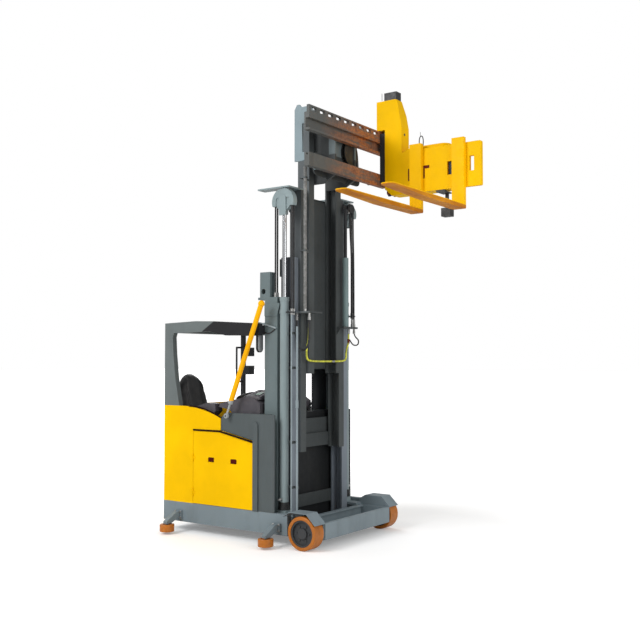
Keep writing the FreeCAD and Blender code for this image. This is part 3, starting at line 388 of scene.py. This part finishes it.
def add_turned(bm, origin, axis, profile, count=32):
    """Solid of revolution from (distance along axis, radius) pairs."""
    axis = Vector(axis).normalized()
    side = axis.orthogonal().normalized()
    up = axis.cross(side)
    rings = []
    for along, radius in profile:
        centre = Vector(origin) + axis * along
        if radius < 1e-6:
            rings.append([bm.verts.new(centre)])
            continue
        ring = []
        for i in range(count):
            a = 2 * math.pi * i / count
            ring.append(bm.verts.new(centre + (side * math.cos(a) + up * math.sin(a)) * radius))
        rings.append(ring)
    for low, high in zip(rings, rings[1:]):
        for i in range(count):
            j = (i + 1) % count
            corners = [low[i % len(low)], low[j % len(low)], high[j % len(high)], high[i % len(high)]]
            unique = list(dict.fromkeys(corners))
            if len(unique) >= 3:
                bm.faces.new(unique)
    for ring, flip in ((rings[0], True), (rings[-1], False)):
        if len(ring) > 2:
            bm.faces.new(list(reversed(ring)) if flip else ring)


def add_bolt(bm, origin, axis, size):
    """Hex head on a washer. size is the thread diameter."""
    axis = Vector(axis).normalized()
    add_turned(bm, origin, axis, [(-0.0005, size * 1.05), (size * 0.16, size * 1.05), (size * 0.2, size * 0.98)], 20)
    r = size * 0.92
    add_turned(bm, Vector(origin) + axis * (size * 0.2), axis,
               [(-0.0002, r), (size * 0.56, r), (size * 0.66, r * 0.86)], 6)


def closed(name, bm, material, body):
    """Piece from bm with its faces turned outwards."""
    bmesh.ops.recalc_face_normals(bm, faces=bm.faces)
    return place(from_bmesh(name, bm), material, body)


def turned(name, origin, axis, profile, material, body, count=40):
    bm = bmesh.new()
    add_turned(bm, origin, axis, profile, count)
    return closed(name, bm, material, body)


def upright_fittings(name, parts, material, body, count):
    """Fittings along +Z in one piece. parts holds (foot, profile) pairs."""
    bm = bmesh.new()
    for foot, profile in parts:
        add_turned(bm, foot, (0, 0, 1), profile, count)
    return closed(name, bm, material, body)


def boxes(name, corners, bevel, material, body):
    bm = bmesh.new()
    for low, high in corners:
        add_box(bm, low, high, bevel)
    return place(from_bmesh(name, bm), material, body)


def bolts(name, places, size, body, material="steel"):
    """places holds (position, outward direction) pairs."""
    bm = bmesh.new()
    for origin, axis in places:
        add_bolt(bm, origin, axis, size)
    return closed(name, bm, material, body)


def smooth_path(points):
    """Points read from a NURBS spline through a control polygon."""
    curve = bpy.data.curves.new("route", "CURVE")
    curve.dimensions = "3D"
    curve.resolution_u = 10
    spline = curve.splines.new("NURBS")
    spline.points.add(len(points) - 1)
    for point, co in zip(spline.points, points):
        point.co = (*co, 1)
    spline.order_u = 3
    spline.use_endpoint_u = True
    holder = bpy.data.objects.new("route", curve)
    bpy.context.collection.objects.link(holder)
    mesh = bpy.data.meshes.new_from_object(holder)
    path = [v.co.copy() for v in mesh.vertices]
    bpy.data.objects.remove(holder)
    bpy.data.curves.remove(curve)
    bpy.data.meshes.remove(mesh)
    return path


def add_tube(bm, path, radius, count=12, wave=0.0, pitch=0.012):
    """Round tube along a path. wave raises ribs of the given pitch, as on a wrapped hose."""
    if wave:
        path = resample(path, pitch / 4)
    normal = (path[1] - path[0]).normalized().orthogonal().normalized()
    rings = []
    travelled = 0.0
    for i, centre in enumerate(path):
        ahead = path[min(i + 1, len(path) - 1)] - path[max(i - 1, 0)]
        along = ahead.normalized()
        normal = (normal - along * normal.dot(along)).normalized()
        side = along.cross(normal)
        if i:
            travelled += (centre - path[i - 1]).length
        ring = []
        for k in range(count):
            a = 2 * math.pi * k / count
            r = radius + wave * math.sin(2 * math.pi * travelled / pitch + a)
            ring.append(bm.verts.new(centre + (normal * math.cos(a) + side * math.sin(a)) * r))
        rings.append(ring)
    for low, high in zip(rings, rings[1:]):
        for k in range(count):
            j = (k + 1) % count
            bm.faces.new([low[k], low[j], high[j], high[k]])
    bm.faces.new(list(reversed(rings[0])))
    bm.faces.new(rings[-1])


def resample(path, step):
    """The same path with points a step apart."""
    out = [path[0]]
    left = step
    for a, b in zip(path, path[1:]):
        length = (b - a).length
        place_on = left
        while place_on < length:
            out.append(a.lerp(b, place_on / length))
            place_on += step
        left = place_on - length
    out.append(path[-1])
    return out


def hose(name, points, radius, material, body=None, wave=0.0, pitch=0.012):
    """Hose, pipe or cable on a smooth line through its control points."""
    bm = bmesh.new()
    add_tube(bm, smooth_path([Vector(p) for p in points]), radius, wave=wave, pitch=pitch)
    return closed(name, bm, material, body)


def arc(centre, radius, start_deg, end_deg, first, second, count):
    """Points of a circle drawn by two directions."""
    out = []
    for i in range(count + 1):
        a = math.radians(start_deg + (end_deg - start_deg) * i / count)
        out.append(Vector(centre) + Vector(first) * radius * math.cos(a) + Vector(second) * radius * math.sin(a))
    return out


# ---------------------------------------------------------------- CAD nodes

node_materials = {
    "grey": ("chassis_frame", "wheel_covers", "roller_brackets"),
    "lit_beam_grey": ("front_beam",),
    "column_grey": ("mast_columns",),
    "end_grey": ("traverse_ends",),
    "housing": ("front_housing",),
    "outer_mast": ("outer_rails",),
    "yellow": ("rear_body", "left_side_panel", "service_door", "turret_column", "fork_carriage"),
    "fork": ("fork_blades",),
    "orange": ("barrier_bar",),
    "mast": ("middle_rails", "inner_rails"),
    "mast_dark": ("outer_crossmembers", "middle_crossmembers", "inner_crossmembers"),
    "carriage": ("lift_carriage",),
    "guard": ("overhead_guard",),
    "rusty": ("traverse_rails", "traverse_rack"),
    # free_lift_rod: its dark steel is painted shade for a rod that lies in shadow
    "dark": ("guard_roof", "cab_post", "free_lift_rod", "turret_slide_block", "drive_yoke", "cab_screen"),
    "interior": ("cab_tub",),
    "barrel": ("lift_barrels", "lift_yokes"),
    "teal": ("free_lift_barrel",),
    "chrome": ("lift_rods",),
    "battery": ("battery",),
    "dash": ("dashboard", "armrest_console"),
    "black": ("steering_wheel", "cab_mirror", "turret_sensor_box", "camera_post"),
    "vinyl": ("seat_cushion", "seat_backrest"),
    "poly": ("load_tyre_left", "load_tyre_right", "drive_tyre", "guide_roller_front_left",
             "guide_roller_front_right", "guide_roller_rear_left", "guide_roller_rear_right"),
    "iron": ("load_hub_left", "load_hub_right", "drive_hub"),
}
for key, names in node_materials.items():
    for node_name in names:
        nodes[node_name].data.materials.clear()
        nodes[node_name].data.materials.append(mats[key])


# ---------------------------------------------------------------- seat

def apply_modifiers(obj):
    depsgraph = bpy.context.evaluated_depsgraph_get()
    mesh = bpy.data.meshes.new_from_object(obj.evaluated_get(depsgraph))
    old = obj.data
    obj.modifiers.clear()
    obj.data = mesh
    bpy.data.meshes.remove(old)


def voxel_remesh(obj, voxel_size):
    """Even mesh that the cloth pass can fill. Modifiers already on obj are applied with it."""
    remesh = obj.modifiers.new("remesh", "REMESH")
    remesh.mode = "VOXEL"
    remesh.voxel_size = voxel_size
    apply_modifiers(obj)


def rounded_pad(name, low, high, round_by, crown):
    """Cushion block with rounded corners, ready to be filled by cloth."""
    bm = bmesh.new()
    add_box(bm, low, high)
    obj = from_bmesh(name, bm)
    bevel = obj.modifiers.new("round", "BEVEL")
    bevel.width = round_by
    bevel.segments = 5
    voxel_remesh(obj, 0.011)
    centre = (Vector(low) + Vector(high)) / 2
    half = (Vector(high) - Vector(low)) / 2
    for vertex in obj.data.vertices:
        rel = vertex.co - centre
        fx, fy = rel.x / half.x, rel.y / half.y
        if rel.z > 0:
            vertex.co.z += crown * (1 - fx * fx) * (1 - fy * fy)
    return obj


def fill_with_air(obj, cap):
    """Cloth pressure pass, capped so that the pad stays in its place."""
    rest = [v.co.copy() for v in obj.data.vertices]
    cloth = obj.modifiers.new("air", "CLOTH")
    cloth.settings.use_pressure = True
    cloth.settings.uniform_pressure_force = 4.0
    cloth.settings.effector_weights.gravity = 0
    cloth.settings.quality = 6
    for step in range(1, 16):
        bpy.context.scene.frame_set(step)
    apply_modifiers(obj)
    bpy.context.scene.frame_set(1)
    for vertex, start in zip(obj.data.vertices, rest):
        moved = vertex.co - start
        if moved.length > cap:
            vertex.co = start + moved.normalized() * cap


def smooth_all(obj):
    sub = obj.modifiers.new("sub", "SUBSURF")
    sub.levels = 1
    sub.render_levels = 1
    apply_modifiers(obj)
    for polygon in obj.data.polygons:
        polygon.use_smooth = True


def seam_groove(obj, test, depth):
    """Pull the surface in where test says a sewn line runs."""
    for vertex, normal in zip(obj.data.vertices, [v.normal.copy() for v in obj.data.vertices]):
        k = test(vertex.co)
        if k > 0:
            vertex.co -= normal * depth * k


def line_weight(value, at, width):
    return max(0.0, 1 - abs(value - at) / width)


cushion_low, cushion_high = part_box("seat_cushion")
pad_in = Vector((0.012, 0.012, 0.0))
cushion = rounded_pad("seat_cushion_pad", cushion_low + pad_in + Vector((0, 0, 0.004)),
                      cushion_high - pad_in - Vector((0, 0, 0.018)), 0.03, 0.012)
fill_with_air(cushion, 0.009)
centre_y = (cushion_low.y + cushion_high.y) / 2
front_x = cushion_high.x
seam_groove(cushion, lambda c: max(line_weight(abs(c.y - centre_y), 0.145, 0.012),
                                   line_weight(c.x, front_x - 0.11, 0.012)) if c.z > cushion_low.z + 0.06 else 0, 0.009)
smooth_all(cushion)
place(cushion, "vinyl", "chassis")
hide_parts("seat_cushion")

back_low, back_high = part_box("seat_backrest")


def backrest_surface():
    """Shaped back: side bolsters, waisted outline and a rounded top."""
    bm = bmesh.new()
    rows, cols = 26, 22
    half_w = (back_high.y - back_low.y) / 2 - 0.006
    mid_y = (back_high.y + back_low.y) / 2
    tall = back_high.z - back_low.z - 0.012
    grid = {}
    for face in (0, 1):
        for r in range(rows + 1):
            t = r / rows
            squeeze = 1 - 0.26 * max(0.0, (t - 0.45) / 0.55) ** 2.2 - 0.1 * (1 - t) ** 3
            lean = -1.69 - 0.165 * t - 0.03 * math.sin(math.pi * t) * (1 if face == 0 else -0.2)
            for c in range(cols + 1):
                s = 2 * c / cols - 1
                thick = (0.052 * math.sqrt(max(0.0, 1 - abs(s) ** 5))
                         * math.sqrt(max(0.0, 1 - max(0, 2 * t - 1) ** 6)))
                bolster = 0.034 * math.exp(-((abs(s) - 0.72) / 0.17) ** 2) * (1 - 0.5 * t)
                y = mid_y + s * half_w * squeeze
                round_top = 0.11 * (abs(s) ** 2.6) * t ** 4
                z = back_low.z + 0.006 + tall * t - round_top
                push = thick + bolster * min(1, thick / 0.03)
                x = lean + (push if face == 0 else -thick * 0.9)
                grid[face, r, c] = bm.verts.new((x, y, z))
    for face in (0, 1):
        for r in range(rows):
            for c in range(cols):
                quad = [grid[face, r, c], grid[face, r, c + 1], grid[face, r + 1, c + 1], grid[face, r + 1, c]]
                bm.faces.new(quad if face == 0 else list(reversed(quad)))
    rim = [(0, c) for c in range(cols + 1)] + [(r, cols) for r in range(1, rows + 1)]
    rim += [(rows, c) for c in range(cols - 1, -1, -1)] + [(r, 0) for r in range(rows - 1, 0, -1)]
    for (r0, c0), (r1, c1) in zip(rim, rim[1:] + rim[:1]):
        bm.faces.new([grid[0, r0, c0], grid[1, r0, c0], grid[1, r1, c1], grid[0, r1, c1]])
    bmesh.ops.recalc_face_normals(bm, faces=bm.faces)
    return from_bmesh("seat_back_pad", bm)


back_pad = backrest_surface()
voxel_remesh(back_pad, 0.010)
fill_with_air(back_pad, 0.008)
back_mid = (back_low.y + back_high.y) / 2
SEAT_BACK_FACE_X = -1.755  # the seams are sewn forward of this
seam_groove(back_pad, lambda c: line_weight(abs(c.y - back_mid), 0.118 - 0.04 * max(0, c.z - 1.45), 0.012)
            if c.x > SEAT_BACK_FACE_X else 0, 0.008)
smooth_all(back_pad)
place(back_pad, "vinyl", "chassis")
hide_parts("seat_backrest")


# ---------------------------------------------------------------- rigging

SHEAVE_REAR_X, SHEAVE_AXLE_X, SHEAVE_FRONT_X = -0.488, -0.384, -0.28
SHEAVE_HOSE_Y = {"inner": 0.534, "outer": 0.568}
RIGHT_PLATE_Z = 2.319  # the hoses end here, just under the right hose plate
LEFT_SHELF_Z = 2.179  # and here under the shelf on the left rail
PIPE_FOOT_Z = 0.279
SIDES = (("right", -1), ("left", 1))


def crossing(name, points, radius):
    """Hose held by two bodies that slide past each other."""
    piece = hose(name, points, radius, "hose", None)
    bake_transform(piece)
    return piece


def hanging(name, points, radius, material, body):
    """Free hose loop."""
    path = smooth_path([Vector(p) for p in points])
    piece = hose(name, points, radius, material, body)
    return piece


def nut_and_sleeve(nut, sleeve, nut_length, length):
    """Profile of a hose fitting: a hexagon nut, then a thinner sleeve."""
    return [(0, nut), (nut_length, nut), (nut_length + 0.001, sleeve), (length, sleeve)]


# hoses over the main sheaves
for label, s in SIDES:
    for lane, y in SHEAVE_HOSE_Y.items():
        crossing("sheave_hose_%s_%s" % (label, lane),
                 [(SHEAVE_REAR_X, s * y, 2.487), (SHEAVE_REAR_X, s * y, 3.0), (SHEAVE_REAR_X, s * y, 3.42),
                  (SHEAVE_REAR_X, s * y, 3.565), (SHEAVE_AXLE_X, s * y, 3.565), (SHEAVE_FRONT_X, s * y, 3.565),
                  (SHEAVE_FRONT_X, s * y, 3.42), (SHEAVE_FRONT_X, s * y, 2.9), (SHEAVE_FRONT_X, s * y, 2.36)],
                 0.009)
    ends = []
    for y in SHEAVE_HOSE_Y.values():
        ends.append(((SHEAVE_FRONT_X, s * y, 2.30), [(0, 0.013), (0.06, 0.013)]))
        ends.append(((SHEAVE_REAR_X, s * y, 2.486), [(0, 0.015), (0.045, 0.015)]))
    upright_fittings("sheave_hose_ends_" + label, ends, "steel", "chassis", 16)
    boxes("sheave_hose_bracket_" + label,
          [((-0.340, min(s * 0.522, s * 0.586), 2.318), (-0.262, max(s * 0.522, s * 0.586), 2.332))],
          0.002, "dark", "chassis")

# light steel pipes down the right-hand rail
hose("rail_pipe_front", [(-0.232, -0.537, PIPE_FOOT_Z), (-0.232, -0.537, 1.2), (-0.232, -0.537, 2.18)],
     0.011, "pipe", "chassis")
hose("rail_pipe_rear", [(-0.28, -0.568, PIPE_FOOT_Z), (-0.28, -0.568, 1.2), (-0.28, -0.568, 2.302)],
     0.009, "pipe", "chassis")
turned("rail_pipe_union", (-0.232, -0.5385, 1.36), (0, 0, 1), [(0, 0.016), (0.075, 0.016)], "pipe", "chassis", 8)
boxes("rail_pipe_clips", [c for z in (0.55, 1.0, 1.75, 2.1) for c in (
    ((-0.352, -0.5275, z), (-0.328, -0.4995, z + 0.025)),
    ((-0.352, -0.5275, z), (-0.218, -0.5215, z + 0.025)),
    ((-0.292, -0.572, z), (-0.268, -0.5265, z + 0.025)))], 0.0015, "mast", "chassis")

# right side: wrapped hose with its clamps, and the loop that hangs under the hose plate
hose("wrapped_hose", [(-0.205, -0.440, 3.82), (-0.205, -0.440, 3.0), (-0.205, -0.440, 2.36)], 0.017, "wrap",
     "inner_mast", wave=0.0024, pitch=0.013)
boxes("wrapped_hose_clamps", [c for z in (3.70, 2.95) for c in (
    ((-0.2605, -0.462, z), (-0.2555, -0.262, z + 0.02)),
    ((-0.256, -0.459, z + 0.002), (-0.186, -0.421, z + 0.018)))], 0.001, "mast", "inner_mast")
hanging("right_hose_loop", [(-0.298, -0.455, RIGHT_PLATE_Z), (-0.300, -0.455, 2.16), (-0.296, -0.455, 1.99),
                            (-0.220, -0.455, 1.925), (-0.145, -0.455, 1.99), (-0.140, -0.455, 2.16),
                            (-0.142, -0.455, RIGHT_PLATE_Z)], 0.010, "hose", "inner_mast")
upright_fittings("right_hose_fittings",
                 [(foot, nut_and_sleeve(0.017, 0.013, 0.03, 0.07))
                  for foot in ((-0.298, -0.455, 2.247), (-0.142, -0.455, 2.247), (-0.205, -0.440, 2.334))],
                 "steel", "inner_mast", 8)

# left side: two hoses down from the free-lift cylinder's head plate and sheave
crossing("left_hose_0", [(-0.227, 0.425, 3.441), (-0.227, 0.425, 3.30), (-0.2, 0.425, 2.9), (-0.2, 0.425, 2.20)],
         0.010)
crossing("left_hose_1", [(-0.202, 0.3585, 3.445), (-0.202, 0.3585, 3.50), (-0.202, 0.3585, 3.546),
                         (-0.202, 0.405, 3.5465), (-0.202, 0.4515, 3.546), (-0.202, 0.4515, 3.50),
                         (-0.202, 0.4515, 3.2), (-0.2, 0.462, 2.9), (-0.2, 0.462, 2.20)],
         0.0078)
boxes("left_hose_clamp", [((-0.213, 0.331, 3.441), (-0.191, 0.369, 3.461))], 0.0015, "steel", "free_lift")
upright_fittings("left_hose_fittings", [((-0.2, y, 2.201), nut_and_sleeve(0.016, 0.013, 0.03, 0.08))
                                        for y in (0.425, 0.462)], "steel", "inner_mast", 8)

# lime hose slung between the two inner rails
lime_pieces = [
    turned("lime_hose_band", (-0.235, 0.08, 1.8265), (0, 1, 0), [(0, 0.0115), (0.05, 0.0115)],
           "steel", "inner_mast", 16),
    turned("lime_hose_union", (-0.2315, 0.400, 2.02), (0, 0, 1), [(0, 0.0135), (0.05, 0.0135)],
           "brown", "inner_mast", 8),
    turned("lime_hose_fitting", (-0.2285, 0.400, 2.125), (0, 0, 1), [(0, 0.0125), (0.02, 0.015), (0.055, 0.015)],
           "steel", "inner_mast", 8)]
hanging("lime_hose", [(-0.228, 0.400, LEFT_SHELF_Z), (-0.230, 0.400, 2.10), (-0.232, 0.400, 2.02),
                      (-0.235, 0.358, 1.94), (-0.235, 0.356, 1.86), (-0.235, 0.330, 1.827), (-0.235, 0.0, 1.826),
                      (-0.235, -0.325, 1.828), (-0.235, -0.372, 1.86), (-0.235, -0.375, 1.97),
                      (-0.230, -0.335, 2.05), (-0.228, -0.335, RIGHT_PLATE_Z)],
        0.010, "lime", "inner_mast")

# black loop from the left shelf to the lime hose's union, inside the carriage's end plate when that is lowered
loop_fitting = turned("left_loop_fitting", (-0.2, 0.462, 2.125), (0, 0, 1),
                      [(0, 0.010), (0.008, 0.014), (0.03, 0.014), (0.031, 0.0115), (0.055, 0.0115)],
                      "steel", "inner_mast", 8)
hanging("left_hose_loop", [(-0.2, 0.462, LEFT_SHELF_Z), (-0.2, 0.462, 2.13), (-0.186, 0.470, 2.09),
                           (-0.148, 0.477, 2.06), (-0.152, 0.474, 2.005), (-0.195, 0.448, 1.998),
                           (-0.214, 0.420, 2.035), (-0.222, 0.408, 2.062)],
        0.007, "hose", "inner_mast")

# drum and hose arch between the traverse rails
turned("hose_drum", (-0.0605, 0.125, 4.035), (1, 0, 0),
       [(0, 0.125), (0.012, 0.125), (0.013, 0.1), (0.036, 0.1), (0.037, 0.125), (0.049, 0.125)], "black", "carriage")
hose("hose_arch", [(-0.04, 0.12, 3.93), (-0.04, 0.115, 4.09), (-0.04, 0.17, 4.14), (-0.04, 0.25, 4.12),
                   (-0.04, 0.275, 4.0), (-0.04, 0.28, 3.90)], 0.02, "hose", "carriage")


# ---------------------------------------------------------------- body trim

def prism(name, outline, low, high, bevel, material):
    """Block on the chassis along X, from an outline of Y and Z."""
    bm = bmesh.new()
    ends = [[bm.verts.new((x, y, z)) for y, z in outline] for x in (low, high)]
    bm.faces.new(ends[0])
    bm.faces.new(list(reversed(ends[1])))
    for i in range(len(outline)):
        j = (i + 1) % len(outline)
        bm.faces.new([ends[0][i], ends[1][i], ends[1][j], ends[0][j]])
    bmesh.ops.recalc_face_normals(bm, faces=bm.faces)
    if bevel:
        bmesh.ops.bevel(bm, geom=bm.edges[:], offset=bevel, segments=2, affect="EDGES", profile=0.5)
    return place(from_bmesh(name, bm), material, "chassis")


# dark edging and hand holds on the right side
boxes("door_top_trim", [((-1.496, -0.7075, 1.085), (-1.11, -0.7035, 1.104))], 0.001, "trim", "side_door")
bm = bmesh.new()
add_tube(bm, [Vector((-1.115, -0.7055, 1.094)), Vector((-0.676, -0.7055, 1.006))], 0.0105, 8)
closed("door_slope_trim", bm, "trim", "side_door")
boxes("door_hand_holds", [((-1.275, -0.7045, 0.770), (-1.200, -0.690, 0.815)),
                          ((-0.967, -0.7045, 0.770), (-0.892, -0.690, 0.815))], 0.004, "red", "side_door")
hose("panel_edge_trim", [(-1.56, -0.701, 1.347), (-1.44, -0.701, 1.343), (-1.32, -0.701, 1.317),
                         (-1.21, -0.701, 1.282), (-1.105, -0.701, 1.238)], 0.008, "trim", "chassis")

# bearing parts, bolts, slots and lifting eye on the turret and fork head
boxes("turret_bearing", [((0.14, 0.60, 3.652), (0.215, 0.72, 3.697))], 0.006, "brown", "turret")
bolts("turret_bearing_bolts", [((0.16, 0.63, 3.653), (0, 0, -1)), ((0.195, 0.69, 3.653), (0, 0, -1))],
      0.02, "turret", "black")
# the slots are thin dark red-brown sheets, painted shadow in place of cut openings
boxes("turret_arm_slot", [((0.422, 0.579, 3.765), (0.441, 0.581, 3.897))], 0.0, "slot", "turret")
boxes("fork_head_slot", [((0.636, 0.529, 3.760), (0.653, 0.5305, 3.865)),
                         ((0.636, 0.529, 3.865), (0.708, 0.5305, 3.897))], 0.0, "slot", "fork_head")
boxes("fork_head_window", [((0.916, 0.556, 3.764), (0.982, 0.562, 3.910))], 0.0, "dark", "fork_head")
hose("lifting_eye", [(0.524, 0.66, 4.122), (0.515, 0.66, 4.17), (0.518, 0.66, 4.235), (0.541, 0.66, 4.262),
                     (0.564, 0.66, 4.235), (0.567, 0.66, 4.17), (0.558, 0.66, 4.122)], 0.0055, "black", "turret")
hose("lifting_eye_wire", [(0.535, 0.66, 4.245), (0.53, 0.66, 4.27), (0.531, 0.66, 4.30)], 0.0022, "black", "turret")
turned("column_port", (0.3425, 0.644, 4.294), (1, 0, 0), [(0, 0.014), (0.0025, 0.014)], "black", "turret", 20)
hose("antenna", [(0.085, 0.60, 4.70), (0.085, 0.60, 4.75), (0.085, 0.60, 4.781)], 0.003, "black", "turret")

# cylinder feet, and bolts on the hubs and roller brackets
HUB_BOLT_CIRCLE = 0.075  # radius
WHEEL_AXLE_Z = 0.165
for label, s in SIDES:
    turned("barrel_foot_ring_" + label, (SHEAVE_AXLE_X, s * 0.552, 0.335), (0, 0, 1),
           [(0, 0.058), (0.035, 0.058), (0.036, 0.052), (0.075, 0.052)], "black", "chassis", 36)
    turned("barrel_port_" + label, (SHEAVE_AXLE_X, s * 0.598, 0.44), (0, s, 0),
           [(0, 0.016), (0.03, 0.016), (0.031, 0.011), (0.05, 0.011)], "steel", "chassis", 8)
    turns = [math.pi / 3 * i for i in range(6)]
    bolts("hub_bolts_" + label,
          [((HUB_BOLT_CIRCLE * math.cos(a), s * 0.7502, WHEEL_AXLE_Z + HUB_BOLT_CIRCLE * math.sin(a)), (0, s, 0))
           for a in turns], 0.012, "load_wheel_" + label, "iron")
    for end, x in (("front", -0.35), ("rear", -1.69)):
        bolts("bracket_bolts_%s_%s" % (end, label),
              [((x + dx, s * 0.73, z), (0, s, 0)) for dx in (-0.035, 0.035) for z in (0.155, 0.211)],
              0.012, "chassis")

# hood over the dashboard, with its display
prism("instrument_hood", [(-0.62, 1.43), (-0.62, 1.459), (-0.36, 1.525), (-0.10, 1.50), (-0.10, 1.43)],
      -0.88, -0.652, 0.008, "dash")
prism("display_rim", [(-0.552, 1.4755), (-0.448, 1.5019), (-0.448, 1.5045), (-0.552, 1.4781)],
      -0.79, -0.70, 0.0, "black")
prism("display", [(-0.54, 1.4805), (-0.46, 1.5008), (-0.46, 1.503), (-0.54, 1.4827)], -0.78, -0.71, 0.0, "screen")

# mirror face in pale grey paint, a painted reflection on the glass, and the mirror's strut and cable to the mast column
face = arc((-0.681, -0.572, 2.085), 0.038, 0, 180, (0, 1, 0), (0, 0, 1), 14)
face += arc((-0.681, -0.572, 1.965), 0.038, 180, 360, (0, 1, 0), (0, 0, 1), 14)
prism("mirror_painted_reflection", [(p.y, p.z) for p in face], -0.682, -0.6785, 0.0, "pale")
hose("mirror_strut", [(-0.715, -0.608, 2.235), (-0.60, -0.609, 2.21), (-0.45, -0.609, 2.165)],
     0.0095, "pipe", "chassis")
hose("mirror_cable", [(-0.690, -0.608, 2.222), (-0.62, -0.606, 2.13), (-0.53, -0.606, 2.10), (-0.46, -0.606, 2.16)],
     0.006, "hose", "chassis")


# ---------------------------------------------------------------- camera, light and floor

def look():
    data = bpy.data.cameras.new("camera")
    data.lens = 50.51
    data.sensor_width = 36.0
    cam = bpy.data.objects.new("camera", data)
    cam.location = (5.194, -7.802, 1.849)
    cam.rotation_euler = (math.radians(92.5), 0, math.radians(35.3))
    data.clip_end = 500
    bpy.context.collection.objects.link(cam)
    bpy.context.scene.camera = cam


def lamp(name, location, target, size, power):
    data = bpy.data.lights.new(name, "AREA")
    data.energy = power
    data.size = size
    obj = bpy.data.objects.new(name, data)
    obj.location = location
    obj.rotation_euler = (Vector(target) - Vector(location)).to_track_quat("-Z", "Y").to_euler()
    bpy.context.collection.objects.link(obj)


def world_light():
    world = bpy.data.worlds.new("studio")
    bpy.context.scene.world = world
    world.use_nodes = True
    tree = world.node_tree
    background = tree.nodes["Background"]
    background.inputs["Color"].default_value = (1, 1, 1, 1)
    path = tree.nodes.new("ShaderNodeLightPath")
    mix = tree.nodes.new("ShaderNodeMapRange")
    mix.inputs["To Min"].default_value = 0.5
    mix.inputs["To Max"].default_value = 1.0
    tree.links.new(path.outputs["Is Camera Ray"], mix.inputs["Value"])
    tree.links.new(mix.outputs["Result"], background.inputs["Strength"])


def floor():
    bm = bmesh.new()
    bmesh.ops.create_grid(bm, x_segments=1, y_segments=1, size=120)
    obj = from_bmesh("floor", bm, False)
    n = Nodes("pale_floor")
    n.finish(n.mix(n.ramp(n.noise(0.7), 0.3, 0.7), (0.86, 0.86, 0.86), (0.9, 0.9, 0.895)))
    n.bsdf.inputs["Roughness"].default_value = 0.8
    n.bsdf.inputs["Specular IOR Level"].default_value = 0.1
    path = n.add("ShaderNodeLightPath")
    n.bsdf.inputs["Emission Color"].default_value = (1, 1, 1, 1)
    length = n.add("ShaderNodeVectorMath", operation="LENGTH")
    n.link(n.coord.outputs["Object"], length.inputs[0])
    far = n.ramp(length.outputs["Value"], 2.0, 6.0, 0.2, 1.1)
    n.link(n.times(path.outputs["Is Camera Ray"], far), n.bsdf.inputs["Emission Strength"])
    obj.data.materials.append(n.mat)
    obj.location.z = -0.0015


look()
world_light()
floor()
lamp("key", (-3.0, -9.0, 7.5), (-0.3, 0, 2.2), 4.5, 720)
lamp("fill", (8.0, -1.5, 4.5), (0, 0, 2.2), 5.0, 260)
lamp("back", (-7.0, 5.0, 7.0), (-0.5, 0, 2.0), 5.0, 260)
bpy.context.scene.view_settings.view_transform = "Standard"
